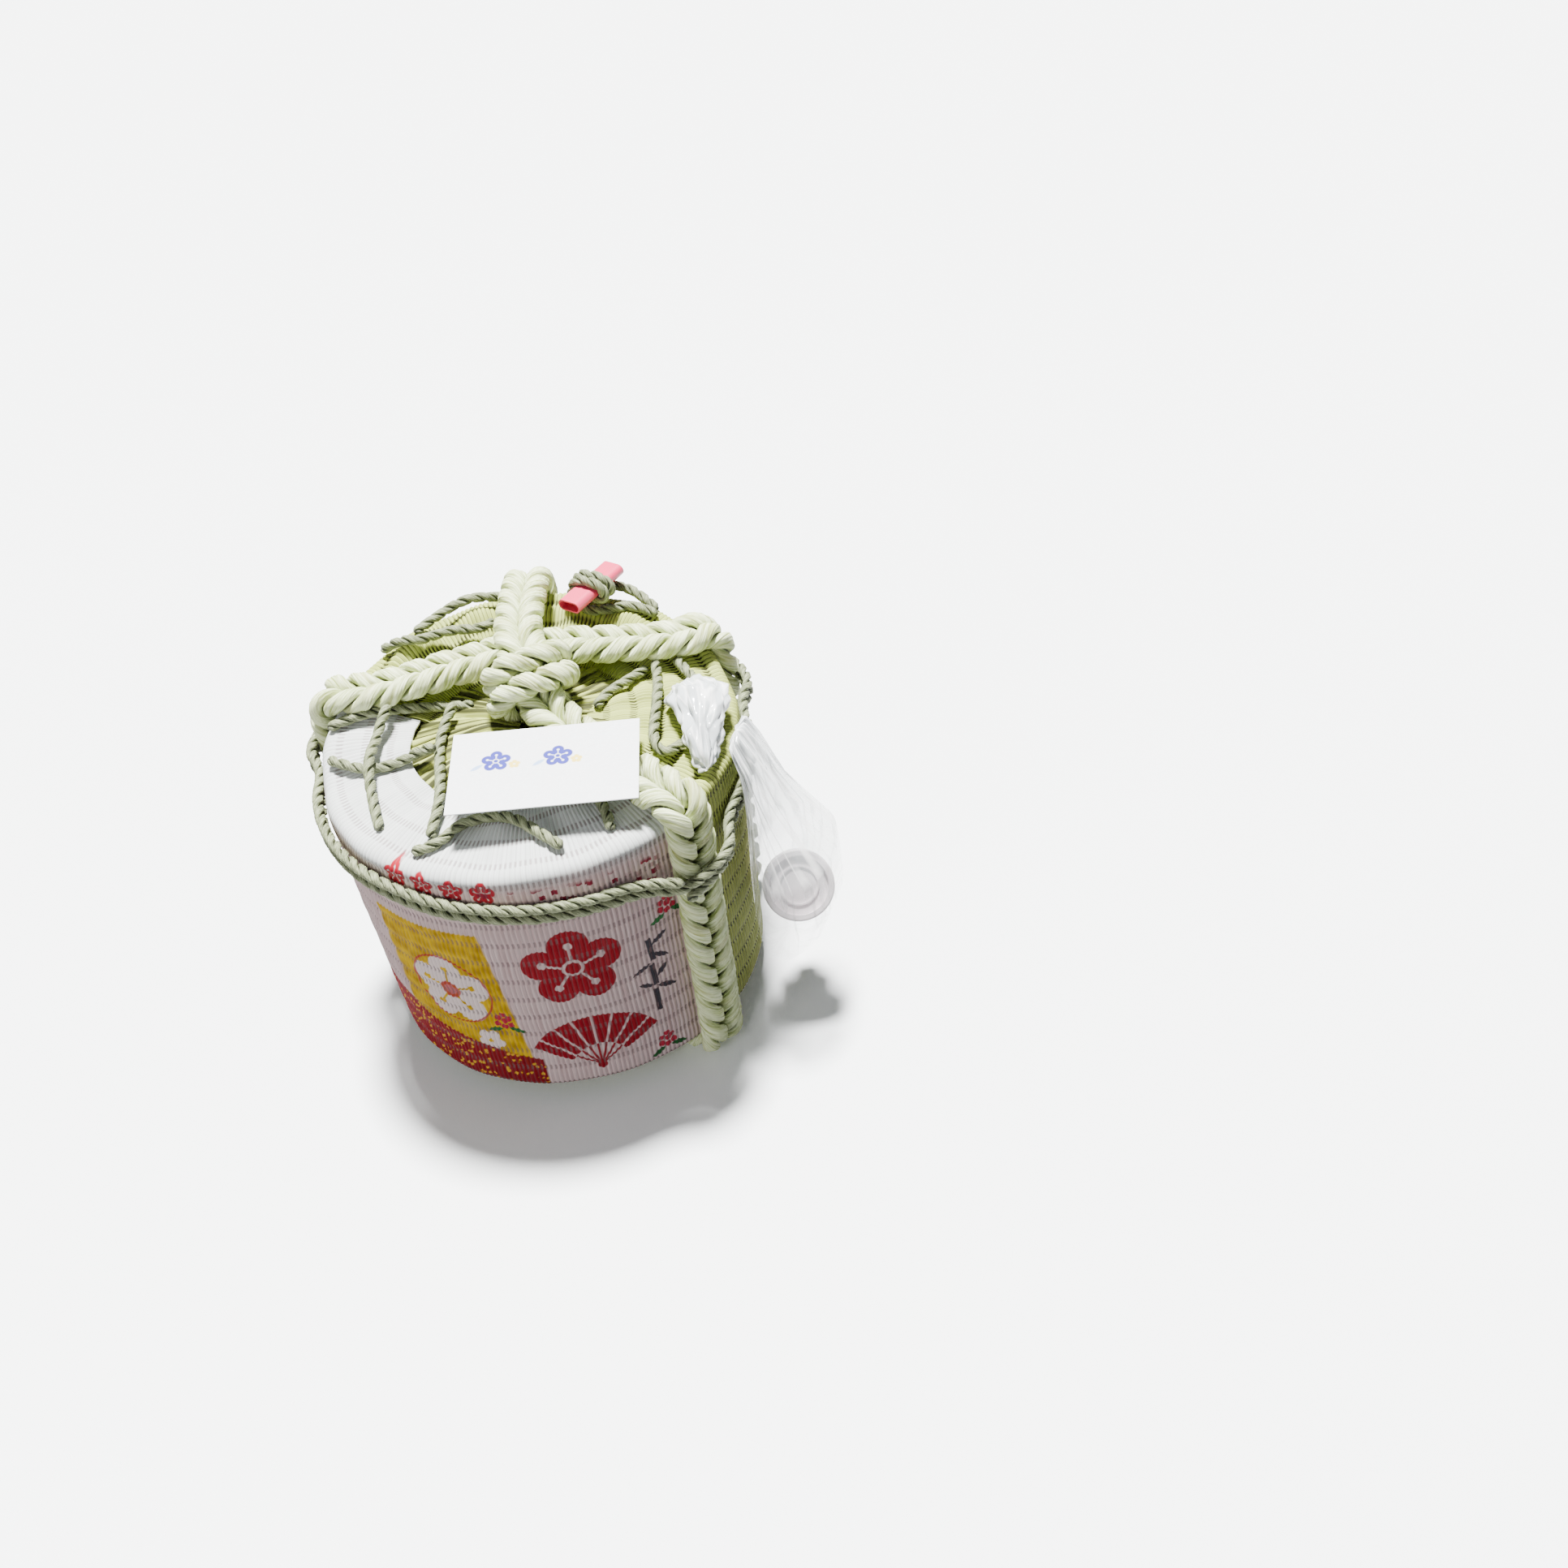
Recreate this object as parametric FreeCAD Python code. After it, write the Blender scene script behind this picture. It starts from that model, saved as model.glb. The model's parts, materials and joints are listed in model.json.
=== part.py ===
import FreeCAD, Part
import math
import os

# A small display barrel for sake. Inside is a staved cedar barrel with a
# bottom and a bunged lid, held by bamboo hoops and packed in straw. Around
# it go a straw mat, plain at the back and printed at the front, thick straw
# ropes in two pairs that cross under a bound knot, a two-turn girth rope and
# thin lacing. A card lies on top and a bagged pouring plug hangs at the side.
# Millimetres. Z is up, the origin is on the floor under the barrel's axis,
# and the printed front faces -Y. Azimuths are degrees from +X towards +Y.

# The barrel's size is its rim. Barrels of this kind keep their proportions, so
# each length that grows with the rim is given in hundredths of its radius.
mat_top_radius = 100.0
mat_height = 140.0
rim_hundredth = mat_top_radius / 100

# Gaps between neighbours
rest_gap = 0.3
joint_gap = 0.2

# Thick and thin straw rope
thick_rope = 11.0 * rim_hundredth
thin_rope = 4.6 * rim_hundredth
stand_flat = 0.5
thick_radius = thick_rope / 2
thin_radius = thin_rope / 2

# Straw mat
mat_flare = 6.0 * rim_hundredth
mat_base_radius = mat_top_radius - mat_flare
mat_thickness = 3.0
mat_rim_rounding = 2 * mat_thickness
mat_seam_gap = 0.4
mat_foot_rounding = mat_thickness - mat_seam_gap / 2
mat_crown = 7.0 * rim_hundredth
flap_inner_radius = 56.0 * rim_hundredth
flap_step = mat_thickness / 2
fold_inner_radius = 28.0 * rim_hundredth
fold_rise = 8.0 * rim_hundredth
back_rise = 16.0 * rim_hundredth
back_rise_from = 50.0 * rim_hundredth
back_rise_power = 0.8

# Staved barrel: the straw packing's room and the top pad's headroom set it
packing_room = 12.0
headroom = 16.0
barrel_base_radius = mat_base_radius - packing_room
barrel_top_radius = mat_top_radius - packing_room
stave_height = mat_height - headroom
stave_thickness = 9.0
stave_count = 14
groove_depth = 2.5
board_thickness = 9.0
bottom_recess = 8.0
lid_recess = 9.0
board_count = 3
bung_top_radius = 10.0
bung_taper = 1.5
bung_foot_radius = bung_top_radius - bung_taper
bung_length = 15.0

# Bamboo hoops, each by its lower edge's share of the staves' height
hoop_width = 9.0
hoop_thickness = 3.0
hoop_shares = {
    "bamboo_hoop_foot": 0.05,
    "bamboo_hoop_lower": 0.24,
    "bamboo_hoop_upper": 0.68,
    "bamboo_hoop_rim": 0.87,
}

# Where the mat's halves meet and where the thick ropes run down, in degrees
front_leg = -56.5
right_leg = 19.0
back_leg = 79.0
left_leg = 150.0

# Top of the thick ropes: the place where the pairs cross and the bound knot
crossing_x = 7.0 * rim_hundredth
crossing_y = 44.5 * rim_hundredth
crossing_lift = 12.0 * rim_hundredth
hump_reach = 22.0 * rim_hundredth
hump_drop = 2.5 * rim_hundredth
knot_x = 7.0 * rim_hundredth
knot_y = 9.5 * rim_hundredth
knot_height = 17.0 * rim_hundredth
knot_heading = -87.0
knot_pitch = 40.0
knot_turns = 2
knot_hollow = 17.0 * rim_hundredth
pad_dip = 3.0 * rim_hundredth
rim_bend = 12.0 * rim_hundredth
foot_bend = 10.0 * rim_hundredth
base_bend = 14.0 * rim_hundredth
front_base_bend = 60.0 * rim_hundredth
top_bend = 40.0 * rim_hundredth
dive_bend = 12.0 * rim_hundredth
foot_ease = 1.0 * rim_hundredth
front_rim_lift = 3.0 * rim_hundredth
rim_spread = 1.1
bend_share = 0.45
tangent_tolerance = 0.001

# Girth rope: height of its middle, as shares of the mat's height, by azimuth
girth_turns = 2
girth_step = thin_rope + 0.8 * rim_hundredth
girth_from = -140.0
girth_shares = (
    (-140.0, 0.905), (-120.0, 0.87), (-100.0, 0.845), (-80.0, 0.825), (-56.5, 0.785),
    (-38.0, 0.85), (-10.0, 0.88), (19.0, 0.89), (50.0, 0.9), (79.0, 0.91), (115.0, 0.915),
    (150.0, 0.915), (180.0, 0.915), (220.0, 0.905),
)
girth_corner_turn = 14.0

# Card: its back edge stays where it clears the front pair's climb to the knot
card_length = 85.6
card_width = 54.0
card_thickness = 0.5
card_x = 2.8 * rim_hundredth
card_back = -22.5 * rim_hundredth
card_y = card_back - card_width / 2
card_height = 18.5 * rim_hundredth
card_turn = -12.0
card_roll = 2.0
card_pitch = 2.5

# Pouring plug with its cap, which hang beside the mat
cap_radius = 17.5
cap_length = 12.0
cap_recess = 2.0
cap_recess_radius = cap_radius - 3.0
cap_ring_radius = cap_radius - 8.5
cap_ring_height = 0.8
cap_out = 1.352 * cap_radius
cap_from = -30.1
cap_height = mat_height * 3 / 7
cap_azimuth = -98.0
cap_pitch = 38.0
plug_radius = cap_radius - 5.5
plug_length = 17.0
nose_radius = cap_radius - 11.0
nose_length = 8.0

# Film bag round the plug
bag_film = 0.6
bag_azimuth = -28.0
bag_over_rim = 11.0
bag_top = mat_height + bag_over_rim
bunch_lift = 3.0 * rim_hundredth

# Pull sleeve, a flattened plastic tube bound on by thin rope
sleeve_length = 37.0 * rim_hundredth
sleeve_width = 13.0 * rim_hundredth
sleeve_height = 6.0 * rim_hundredth
sleeve_wall = 0.8
sleeve_x = 47.5 * rim_hundredth
sleeve_y = 69.0 * rim_hundredth
sleeve_rise = 28.9 * rim_hundredth
sleeve_heading = 43.0
sleeve_turns = 2

# Heights that follow
thick_level = thick_radius - stand_flat
base_level = thick_level + thick_radius + rest_gap
top_level = base_level + mat_height
stave_foot = base_level + mat_thickness + rest_gap
stave_top = stave_foot + stave_height
mat_slope = mat_flare / mat_height
barrel_slope = (barrel_top_radius - barrel_base_radius) / stave_height
overrun = mat_thickness
no_limit = 4 * mat_top_radius


def polar(radius, azimuth, height):
    angle = math.radians(azimuth)
    return Vector(radius * math.cos(angle), radius * math.sin(angle), height)


def heading(azimuth):
    return polar(1, azimuth, 0)


def across(azimuth):
    return heading(azimuth + 90)


def mat_radius(height):
    return mat_base_radius + (height - base_level) * mat_slope


def barrel_radius(height):
    return barrel_base_radius + (height - stave_foot) * barrel_slope


def back_lift(azimuth):
    # the bunched mat stands higher round the back half of the rim
    sine = math.sin(math.radians(azimuth))
    return back_rise * sine ** back_rise_power if sine > 0 else 0


def crown_level(radius, azimuth=None):
    shoulder = mat_top_radius - mat_rim_rounding
    level = top_level + mat_crown * (1 - radius / shoulder)
    if azimuth is None:
        return level
    way = (radius - back_rise_from) / (shoulder - back_rise_from)
    return level + back_lift(azimuth) * min(1, max(0, way))


Vector = FreeCAD.Vector
upward = Vector(0, 0, 1)
centre = Vector(0, 0, 0)


# Corner of a path: where its arc starts, its middle and where it ends

def corner_arc(before, corner, after, radius):
    back = (before - corner).normalize()
    ahead = (after - corner).normalize()
    half = back.getAngle(ahead) / 2
    reach = radius / math.tan(half)
    bisector = (back + ahead).normalize()
    middle = corner + bisector * (radius / math.sin(half) - radius)
    return corner + back * reach, middle, corner + ahead * reach


def widest_bend(before, corner, after, limit):
    back = before - corner
    ahead = after - corner
    turn = math.pi - back.getAngle(ahead)
    shorter = min(back.Length, ahead.Length)
    return min(limit, bend_share * shorter / math.tan(turn / 2))


def rounded_edges(points, radii, closed):
    count = len(points)
    edges = []
    ends = []
    for index, corner in enumerate(points):
        radius = radii[index]
        loose = not closed and index in (0, count - 1)
        if loose or radius == 0:
            ends.append((corner, corner))
            continue
        start, middle, end = corner_arc(points[index - 1], corner, points[(index + 1) % count], radius)
        edges.append((index, Part.Arc(start, middle, end).toShape()))
        ends.append((start, end))
    arcs = dict(edges)
    path = []
    for index in range(count):
        if index in arcs:
            path.append(arcs[index])
        if index == count - 1 and not closed:
            break
        start = ends[index][1]
        end = ends[(index + 1) % count][0]
        if (end - start).Length > joint_gap / 10:
            path.append(Part.LineSegment(start, end).toShape())
    return path


def rounded_face(corners):
    points = [Vector(x, 0, z) for x, z, radius in corners]
    radii = [radius for x, z, radius in corners]
    return Part.Face(Part.Wire(rounded_edges(points, radii, True)))


def turned(corners, start, sweep):
    solid = rounded_face(corners).revolve(centre, upward, sweep)
    solid.rotate(centre, upward, start)
    return solid


# A tube along straight runs joined by tangent arcs, with its checks printed

def swept(edges, radius, name):
    path = Part.Wire(edges)
    first = edges[0]
    start = first.valueAt(first.FirstParameter)
    tangent = first.tangentAt(first.FirstParameter)
    if (start - path.OrderedVertexes[0].Point).Length > joint_gap:
        start = path.OrderedVertexes[0].Point
    section = Part.Wire(Part.Circle(start, tangent, radius).toShape())
    shape = path.makePipeShell([section], True, False)
    ideal = math.pi * radius ** 2 * path.Length
    print(name, "length", round(path.Length, 1), "volume share", round(shape.Volume / ideal, 4))
    return shape


def tube(route, radius, name):
    # each place on the route has the widest bend allowed there
    points = [place for place, limit in route]
    radii = [0]
    for index in range(1, len(points) - 1):
        radii.append(widest_bend(points[index - 1], points[index], points[index + 1], route[index][1]))
    radii.append(0)
    print(name, "tightest bend", round(min(radii[1:-1]), 1))
    return swept(rounded_edges(points, radii, False), radius, name)


# Two arcs that join two points with given tangents

def biarc(start, start_tangent, end, end_tangent):
    chord = end - start
    tangents = start_tangent + end_tangent
    spread = 1 - start_tangent.dot(end_tangent)
    product = chord.dot(tangents)
    arm = (math.sqrt(product ** 2 + 2 * spread * chord.dot(chord)) - product) / (2 * spread)
    first_corner = start + start_tangent * arm
    second_corner = end - end_tangent * arm
    joint = (first_corner + second_corner) * 0.5
    edges = []
    for before, corner, after in ((start, first_corner, joint), (joint, second_corner, end)):
        half = (before - corner).getAngle(after - corner) / 2
        radius = (before - corner).Length * math.tan(half)
        middle = corner_arc(before, corner, after, radius)[1]
        edges.append(Part.Arc(before, middle, after).toShape())
    return edges


def self_gap(edges, radius, skip_length, name):
    samples = []
    length = 0
    for edge in edges:
        steps = max(2, int(edge.Length / radius * 2))
        for step in range(steps):
            share = step / steps
            span = edge.LastParameter - edge.FirstParameter
            point = edge.valueAt(edge.FirstParameter + span * share)
            samples.append((length + edge.Length * share, point))
        length += edge.Length
    least = min(
        (a[1] - b[1]).Length for a in samples for b in samples if b[0] - a[0] > skip_length
    )
    print(name, "least gap to itself", round(least - 2 * radius, 2))


def save(name, shape):
    shape.exportStep(os.path.join("parts", name + ".step"))
    solids = len(shape.Solids)
    print(name, "solids", solids, "volume", round(shape.Volume), "valid", shape.isValid())


# Staved barrel

def stave():
    inner_base = barrel_base_radius - stave_thickness
    inner_top = barrel_top_radius - stave_thickness
    corners = [(barrel_base_radius, stave_foot, 0), (barrel_top_radius, stave_top, 0)]
    corners.append((inner_top, stave_top, 0))
    lid_top = stave_top - lid_recess + joint_gap
    floor_top = stave_foot + bottom_recess + board_thickness + joint_gap
    for top in (lid_top, floor_top):
        foot = top - board_thickness - 2 * joint_gap
        for level, depth in ((top, 0), (top, groove_depth), (foot, groove_depth), (foot, 0)):
            radius = barrel_radius(level) - stave_thickness + depth
            corners.append((radius, level, 0))
    corners.append((inner_base, stave_foot, 0))
    pitch = 360 / stave_count
    gap_angle = math.degrees(joint_gap / barrel_base_radius)
    return turned(corners, gap_angle / 2, pitch - gap_angle)


def boards(foot, names, hole_radius):
    rim_foot = barrel_radius(foot) - stave_thickness + groove_depth - joint_gap
    disc = Part.makeCylinder(rim_foot, board_thickness, Vector(0, 0, foot))
    width = 2 * rim_foot / board_count
    made = {}
    for index, name in enumerate(names):
        low = -rim_foot + index * width + joint_gap / 2
        slab = Part.makeBox(width - joint_gap, 2 * rim_foot, board_thickness, Vector(low, -rim_foot, foot))
        board = disc.common(slab)
        if hole_radius and index == board_count // 2:
            hole = Part.makeCone(
                hole_radius[0], hole_radius[1], board_thickness + 2 * overrun,
                Vector(0, 0, foot - overrun),
            )
            board = board.cut(hole)
        made[name] = board
    return made


def hoop(share):
    foot = stave_foot + stave_height * share
    top = foot + hoop_width
    inner_foot = barrel_radius(foot) + rest_gap
    inner_top = barrel_radius(top) + rest_gap
    corners = [
        (inner_foot, foot, 0),
        (inner_foot + hoop_thickness, foot, hoop_thickness / 3),
        (inner_top + hoop_thickness, top, hoop_thickness / 3),
        (inner_top, top, 0),
    ]
    return turned(corners, 0, 360)


def straw_packing():
    def inner(level):
        return barrel_radius(level) + hoop_thickness + 2 * rest_gap

    def outer(level):
        return mat_radius(level) - mat_thickness - rest_gap

    corners = [
        (inner(stave_foot), stave_foot, 0),
        (outer(stave_foot), stave_foot, 0),
        (outer(stave_top), stave_top, 0),
        (inner(stave_top), stave_top, 0),
    ]
    return turned(corners, 0, 360)


def top_pad():
    foot = stave_top + rest_gap
    shoulder = mat_top_radius - mat_rim_rounding
    reach = mat_radius(foot) - mat_thickness - rest_gap
    drop = mat_thickness + rest_gap
    corners = [
        (0, foot, 0),
        (reach, foot, 0),
        (reach, top_level - drop - mat_rim_rounding / 2, mat_rim_rounding / 4),
        (shoulder - mat_rim_rounding / 2, crown_level(shoulder) - drop, 0),
        (0, crown_level(0) - drop - pad_dip, 0),
    ]
    return turned(corners, 0, 360)


# Straw mat

def foot_mat():
    reach = mat_base_radius - mat_thickness - rest_gap
    corners = [
        (0, base_level, 0),
        (reach - mat_thickness, base_level, 0),
        (reach, base_level + mat_thickness, 0),
        (0, base_level + mat_thickness, 0),
    ]
    return turned(corners, 0, 360)


def mat_section(azimuth, inner_radius, rises):
    shoulder = mat_top_radius - mat_rim_rounding
    inner_foot = mat_base_radius - mat_thickness
    rim_level = top_level + back_lift(azimuth)
    corners = [
        (inner_foot, base_level, 0),
        (mat_base_radius, base_level, mat_foot_rounding),
        (mat_top_radius, rim_level, mat_rim_rounding),
    ]
    for share, rise in rises:
        radius = inner_radius + (shoulder - inner_radius) * share
        corners.append((radius, crown_level(radius, azimuth) + rise, 0))
    corners.append((inner_radius, crown_level(inner_radius) - mat_thickness + rest_gap, 0))
    corners.append((shoulder - mat_rim_rounding, crown_level(shoulder) - mat_thickness, 0))
    corners.append((mat_top_radius - mat_thickness, top_level - mat_thickness, mat_rim_rounding - mat_thickness))
    points = [polar(x, azimuth, z) for x, z, radius in corners]
    radii = [radius for x, z, radius in corners]
    return Part.Wire(rounded_edges(points, radii, True))


def mat_loft(start, end, steps, inner_radius, rises_at):
    sections = []
    for step in range(steps + 1):
        azimuth = start + (end - start) * step / steps
        sections.append(mat_section(azimuth, inner_radius, rises_at(azimuth)))
    return Part.makeLoft(sections, True, True)


def front_mat():
    seam = math.degrees(mat_seam_gap / mat_top_radius) / 2

    def rises_at(azimuth):
        return ((0.9, 0), (0.7, flap_step), (0.0, flap_step))

    return mat_loft(left_leg + seam, 360 + front_leg - seam, flap_steps, flap_inner_radius, rises_at)


# Folds of the plain mat on the top, each by its middle, half width and height.
# Those behind the crossing ropes stand near the rim, the others further in.
fold_shares = (
    (-34.0, 10.0, 0.5), (-16.0, 12.0, 0.5), (1.0, 9.0, 0.6), (44.0, 9.0, 0.5),
    (61.0, 9.0, 0.9), (98.0, 10.0, 0.8), (122.0, 13.0, 1.0),
)
front_way_shares = ((0.9, 0.25), (0.65, 0.8), (0.35, 1.0), (0.0, 0.3))
back_way_shares = ((0.95, 0.5), (0.87, 1.0), (0.78, 0.6), (0.68, 0.0))
fold_steps = 52
flap_steps = 30


def fold_ways(azimuth):
    return front_way_shares if azimuth < right_leg else back_way_shares


def fold_height(azimuth):
    height = 0
    for middle, half_width, share in fold_shares:
        away = abs(azimuth - middle) / half_width
        if away < 1:
            height += fold_rise * share * math.cos(away * math.pi / 2) ** 2
    return height


def plain_mat():
    seam = math.degrees(mat_seam_gap / mat_top_radius) / 2

    def rises_at(azimuth):
        height = fold_height(azimuth)
        return [(share, height * way) for share, way in fold_ways(azimuth)]

    return mat_loft(front_leg + seam, left_leg - seam, fold_steps, fold_inner_radius, rises_at)


def cloth_level(x, y):
    # the mats' upper surface over a place on the top
    radius = math.hypot(x, y)
    azimuth = math.degrees(math.atan2(y, x))
    level = crown_level(radius, azimuth)
    if azimuth < front_leg or azimuth > left_leg:
        return level + (flap_step if radius > flap_inner_radius else 0)
    share = (radius - fold_inner_radius) / (mat_top_radius - mat_rim_rounding - fold_inner_radius)
    ways = ((1.0, 0.0),) + fold_ways(azimuth) + ((-0.5, 0.0),)
    for (high, high_way), (low, low_way) in zip(ways, ways[1:]):
        if low <= share <= high:
            way = low_way + (high_way - low_way) * (share - low) / (high - low)
            return level + fold_height(azimuth) * way
    return level


def mat_gather():
    def ring(inner, outer):
        drop = mat_thickness
        return [
            (inner, crown_level(inner) - drop, 0),
            (outer, crown_level(outer) - drop, 0),
            (outer, crown_level(outer), 0),
            (inner, crown_level(inner), 0),
        ]

    middle = turned(ring(0, fold_inner_radius - rest_gap), 0, 360)
    seam = math.degrees(mat_seam_gap / fold_inner_radius)
    sweep = 360 + front_leg - left_leg - seam
    front = turned(ring(fold_inner_radius - rest_gap, flap_inner_radius - rest_gap), left_leg + seam / 2, sweep)
    hollow = Part.makeCylinder(knot_hollow, top_level, Vector(knot_x, knot_y, base_level))
    return middle.fuse(front).removeSplitter().cut(hollow)


# Thick ropes: each pair of runs is a rope's width apart

pair_offset = (thick_rope + 2 * rest_gap) / 2
side_offset = thick_radius + rest_gap
crossing_level = crown_level(crossing_y) + side_offset + crossing_lift
over_level = crossing_level + thick_rope + rest_gap
knot_middle = Vector(knot_x, knot_y, crown_level(0) + knot_height)
knot_side = across(knot_heading)
knot_along = (
    heading(knot_heading) * math.cos(math.radians(knot_pitch))
    - upward * math.sin(math.radians(knot_pitch))
)
knot_rise = knot_along.cross(knot_side)


def leg_points(azimuth, side):
    # a leg's corners over the rim and under the foot
    shift = across(azimuth) * pair_offset * side
    spread = math.degrees(thick_rope / mat_top_radius)
    lift = max(back_lift(azimuth - spread), back_lift(azimuth + spread))
    rim_level = top_level + lift + side_offset + (front_rim_lift if azimuth == front_leg else 0)
    top_corner = polar(mat_top_radius + side_offset, azimuth, rim_level)
    foot_corner = polar(mat_radius(thick_level) + side_offset + foot_ease, azimuth, thick_level)
    return top_corner + shift * rim_spread, foot_corner + shift


def base_corner(first, second):
    # the lines of two neighbouring legs meet here under the base
    half = (second - first) / 2
    return polar(pair_offset / math.sin(math.radians(half)), (first + second) / 2, thick_level)


def cut_flat(shape):
    floor = Part.makeBox(
        4 * mat_top_radius, 4 * mat_top_radius, thick_rope,
        Vector(-2 * mat_top_radius, -2 * mat_top_radius, -thick_rope),
    )
    return shape.cut(floor)


def knot_end(direction, side):
    shift = knot_side * pair_offset * side
    reach = knot_turns * thick_rope / 2 + thick_radius
    here = knot_middle + shift
    return here + knot_along * direction * rest_gap, here + knot_along * direction * reach


def thick_rope_front():
    start = knot_end(1, 1)
    end = knot_end(1, -1)
    first = leg_points(front_leg, 1)
    right = leg_points(right_leg, -1)
    left = leg_points(left_leg, 1)
    last = leg_points(front_leg, -1)
    low_line = Vector(crossing_x, crossing_y - pair_offset, crossing_level)
    route = [
        (start[0], 0), (start[1], dive_bend), (first[0], rim_bend), (first[1], foot_bend),
        (base_corner(front_leg, right_leg), base_bend), (right[1], foot_bend),
        (right[0], rim_bend), (low_line, top_bend), (left[0], rim_bend), (left[1], foot_bend),
        (base_corner(left_leg, front_leg + 360), front_base_bend), (last[1], foot_bend),
        (last[0], rim_bend), (end[1], dive_bend), (end[0], 0),
    ]
    return cut_flat(tube(route, thick_radius, "thick_rope_front"))


def thick_rope_back():
    start = knot_end(-1, 1)
    end = knot_end(-1, -1)
    first = leg_points(back_leg, -1)
    right = leg_points(right_leg, 1)
    left = leg_points(left_leg, -1)
    last = leg_points(back_leg, 1)
    high_line = Vector(crossing_x, crossing_y + pair_offset, crossing_level)
    over = Vector(crossing_x, crossing_y, over_level)
    hump = polar(mat_top_radius + side_offset - hump_reach, back_leg, over_level - hump_drop)
    shift = knot_side * pair_offset
    hump_shift = across(back_leg) * pair_offset
    route = [
        (start[0], 0), (start[1], dive_bend), (over + shift, top_bend), (hump - hump_shift, rim_bend),
        (first[0], rim_bend), (first[1], foot_bend), (base_corner(right_leg, back_leg), base_bend),
        (right[1], foot_bend), (right[0], rim_bend), (high_line, top_bend), (left[0], rim_bend),
        (left[1], foot_bend), (base_corner(back_leg, left_leg), base_bend), (last[1], foot_bend),
        (last[0], rim_bend), (hump + hump_shift, rim_bend), (over - shift, top_bend),
        (end[1], dive_bend), (end[0], 0),
    ]
    return cut_flat(tube(route, thick_radius, "thick_rope_back"))


# Flat turns round a pair or a sleeve: quarter turns with straight spans between

def flat_winding(name, middle, axes, bend, span, turns, radius):
    along, side, rise = axes
    advance = 2 * (radius + rest_gap)
    quarter = math.pi / 2 * bend
    stations = (
        (span, -bend, 1, 0, quarter), (span + bend, 0, 0, 1, quarter), (span, bend, -1, 0, 2 * span),
        (-span, bend, -1, 0, quarter), (-span - bend, 0, 0, -1, quarter), (-span, -bend, 1, 0, 2 * span),
    )
    circuit = sum(station[4] for station in stations)
    points = []
    tangents = []
    travelled = 0
    for sideways, up, go_side, go_up, length in stations * turns + stations[:1]:
        shift = advance * (travelled / circuit - turns / 2)
        points.append(middle + side * sideways + rise * up + along * shift)
        tangent = side * go_side + rise * go_up + along * (advance / circuit)
        tangents.append(tangent.normalize())
        travelled += length
    edges = []
    for index in range(len(points) - 1):
        chord = points[index + 1] - points[index]
        if chord.getAngle(tangents[index]) < math.radians(1) and tangents[index].isEqual(tangents[index + 1], tangent_tolerance):
            edges.append(Part.LineSegment(points[index], points[index + 1]).toShape())
        else:
            edges += biarc(points[index], tangents[index], points[index + 1], tangents[index + 1])
    self_gap(edges, radius, 6 * radius, name)
    return swept(edges, radius, name)


def top_knot():
    axes = (knot_along, knot_side, knot_rise)
    bend = thick_rope + rest_gap
    return flat_winding("top_knot", knot_middle, axes, bend, pair_offset, knot_turns, thick_radius)


# Girth rope: two turns on the mat that step out over each pair of thick ropes

def girth_middle(azimuth):
    place = (azimuth - girth_from) % 360 + girth_from
    for (low, low_share), (high, high_share) in zip(girth_shares, girth_shares[1:]):
        if low <= place <= high:
            share = low_share + (high_share - low_share) * (place - low) / (high - low)
            return base_level + mat_height * share
    return base_level + mat_height * girth_shares[-1][1]


def girth_rope():
    stations = []
    legs = [front_leg, right_leg, back_leg, left_leg]
    inner = thin_radius + rest_gap
    outer = inner + thick_rope + 4 * rest_gap
    crest = math.degrees((thick_rope + thin_radius) / mat_top_radius)
    skirt = math.degrees((2 * thick_rope + thin_rope) / mat_top_radius)
    for number, leg in enumerate(legs):
        stations += [(leg - skirt, inner), (leg - crest, outer), (leg + crest, outer), (leg + skirt, inner)]
        following = legs[(number + 1) % len(legs)] + (360 if number == len(legs) - 1 else 0)
        free = following - leg - 2 * skirt
        count = max(1, round(free / girth_corner_turn))
        for step in range(1, count):
            stations.append((leg + skirt + free * step / count, inner + thin_radius / 2))
    laid = [(azimuth + 360 * turn, stand) for turn in range(girth_turns + 1) for azimuth, stand in stations]
    laid = laid[1:len(stations) * girth_turns + 2]
    start = laid[0][0]
    route = []
    for azimuth, stand in laid:
        level = girth_middle(azimuth) + girth_step * ((azimuth - start) / 360 - girth_turns / 2)
        route.append((polar(mat_radius(level) + stand, azimuth, level), no_limit))
    return tube(route, thin_radius, "girth_rope")


# Thin lacing: places on the top, each with its lift over the mats, all in
# hundredths of the rim's radius

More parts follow.
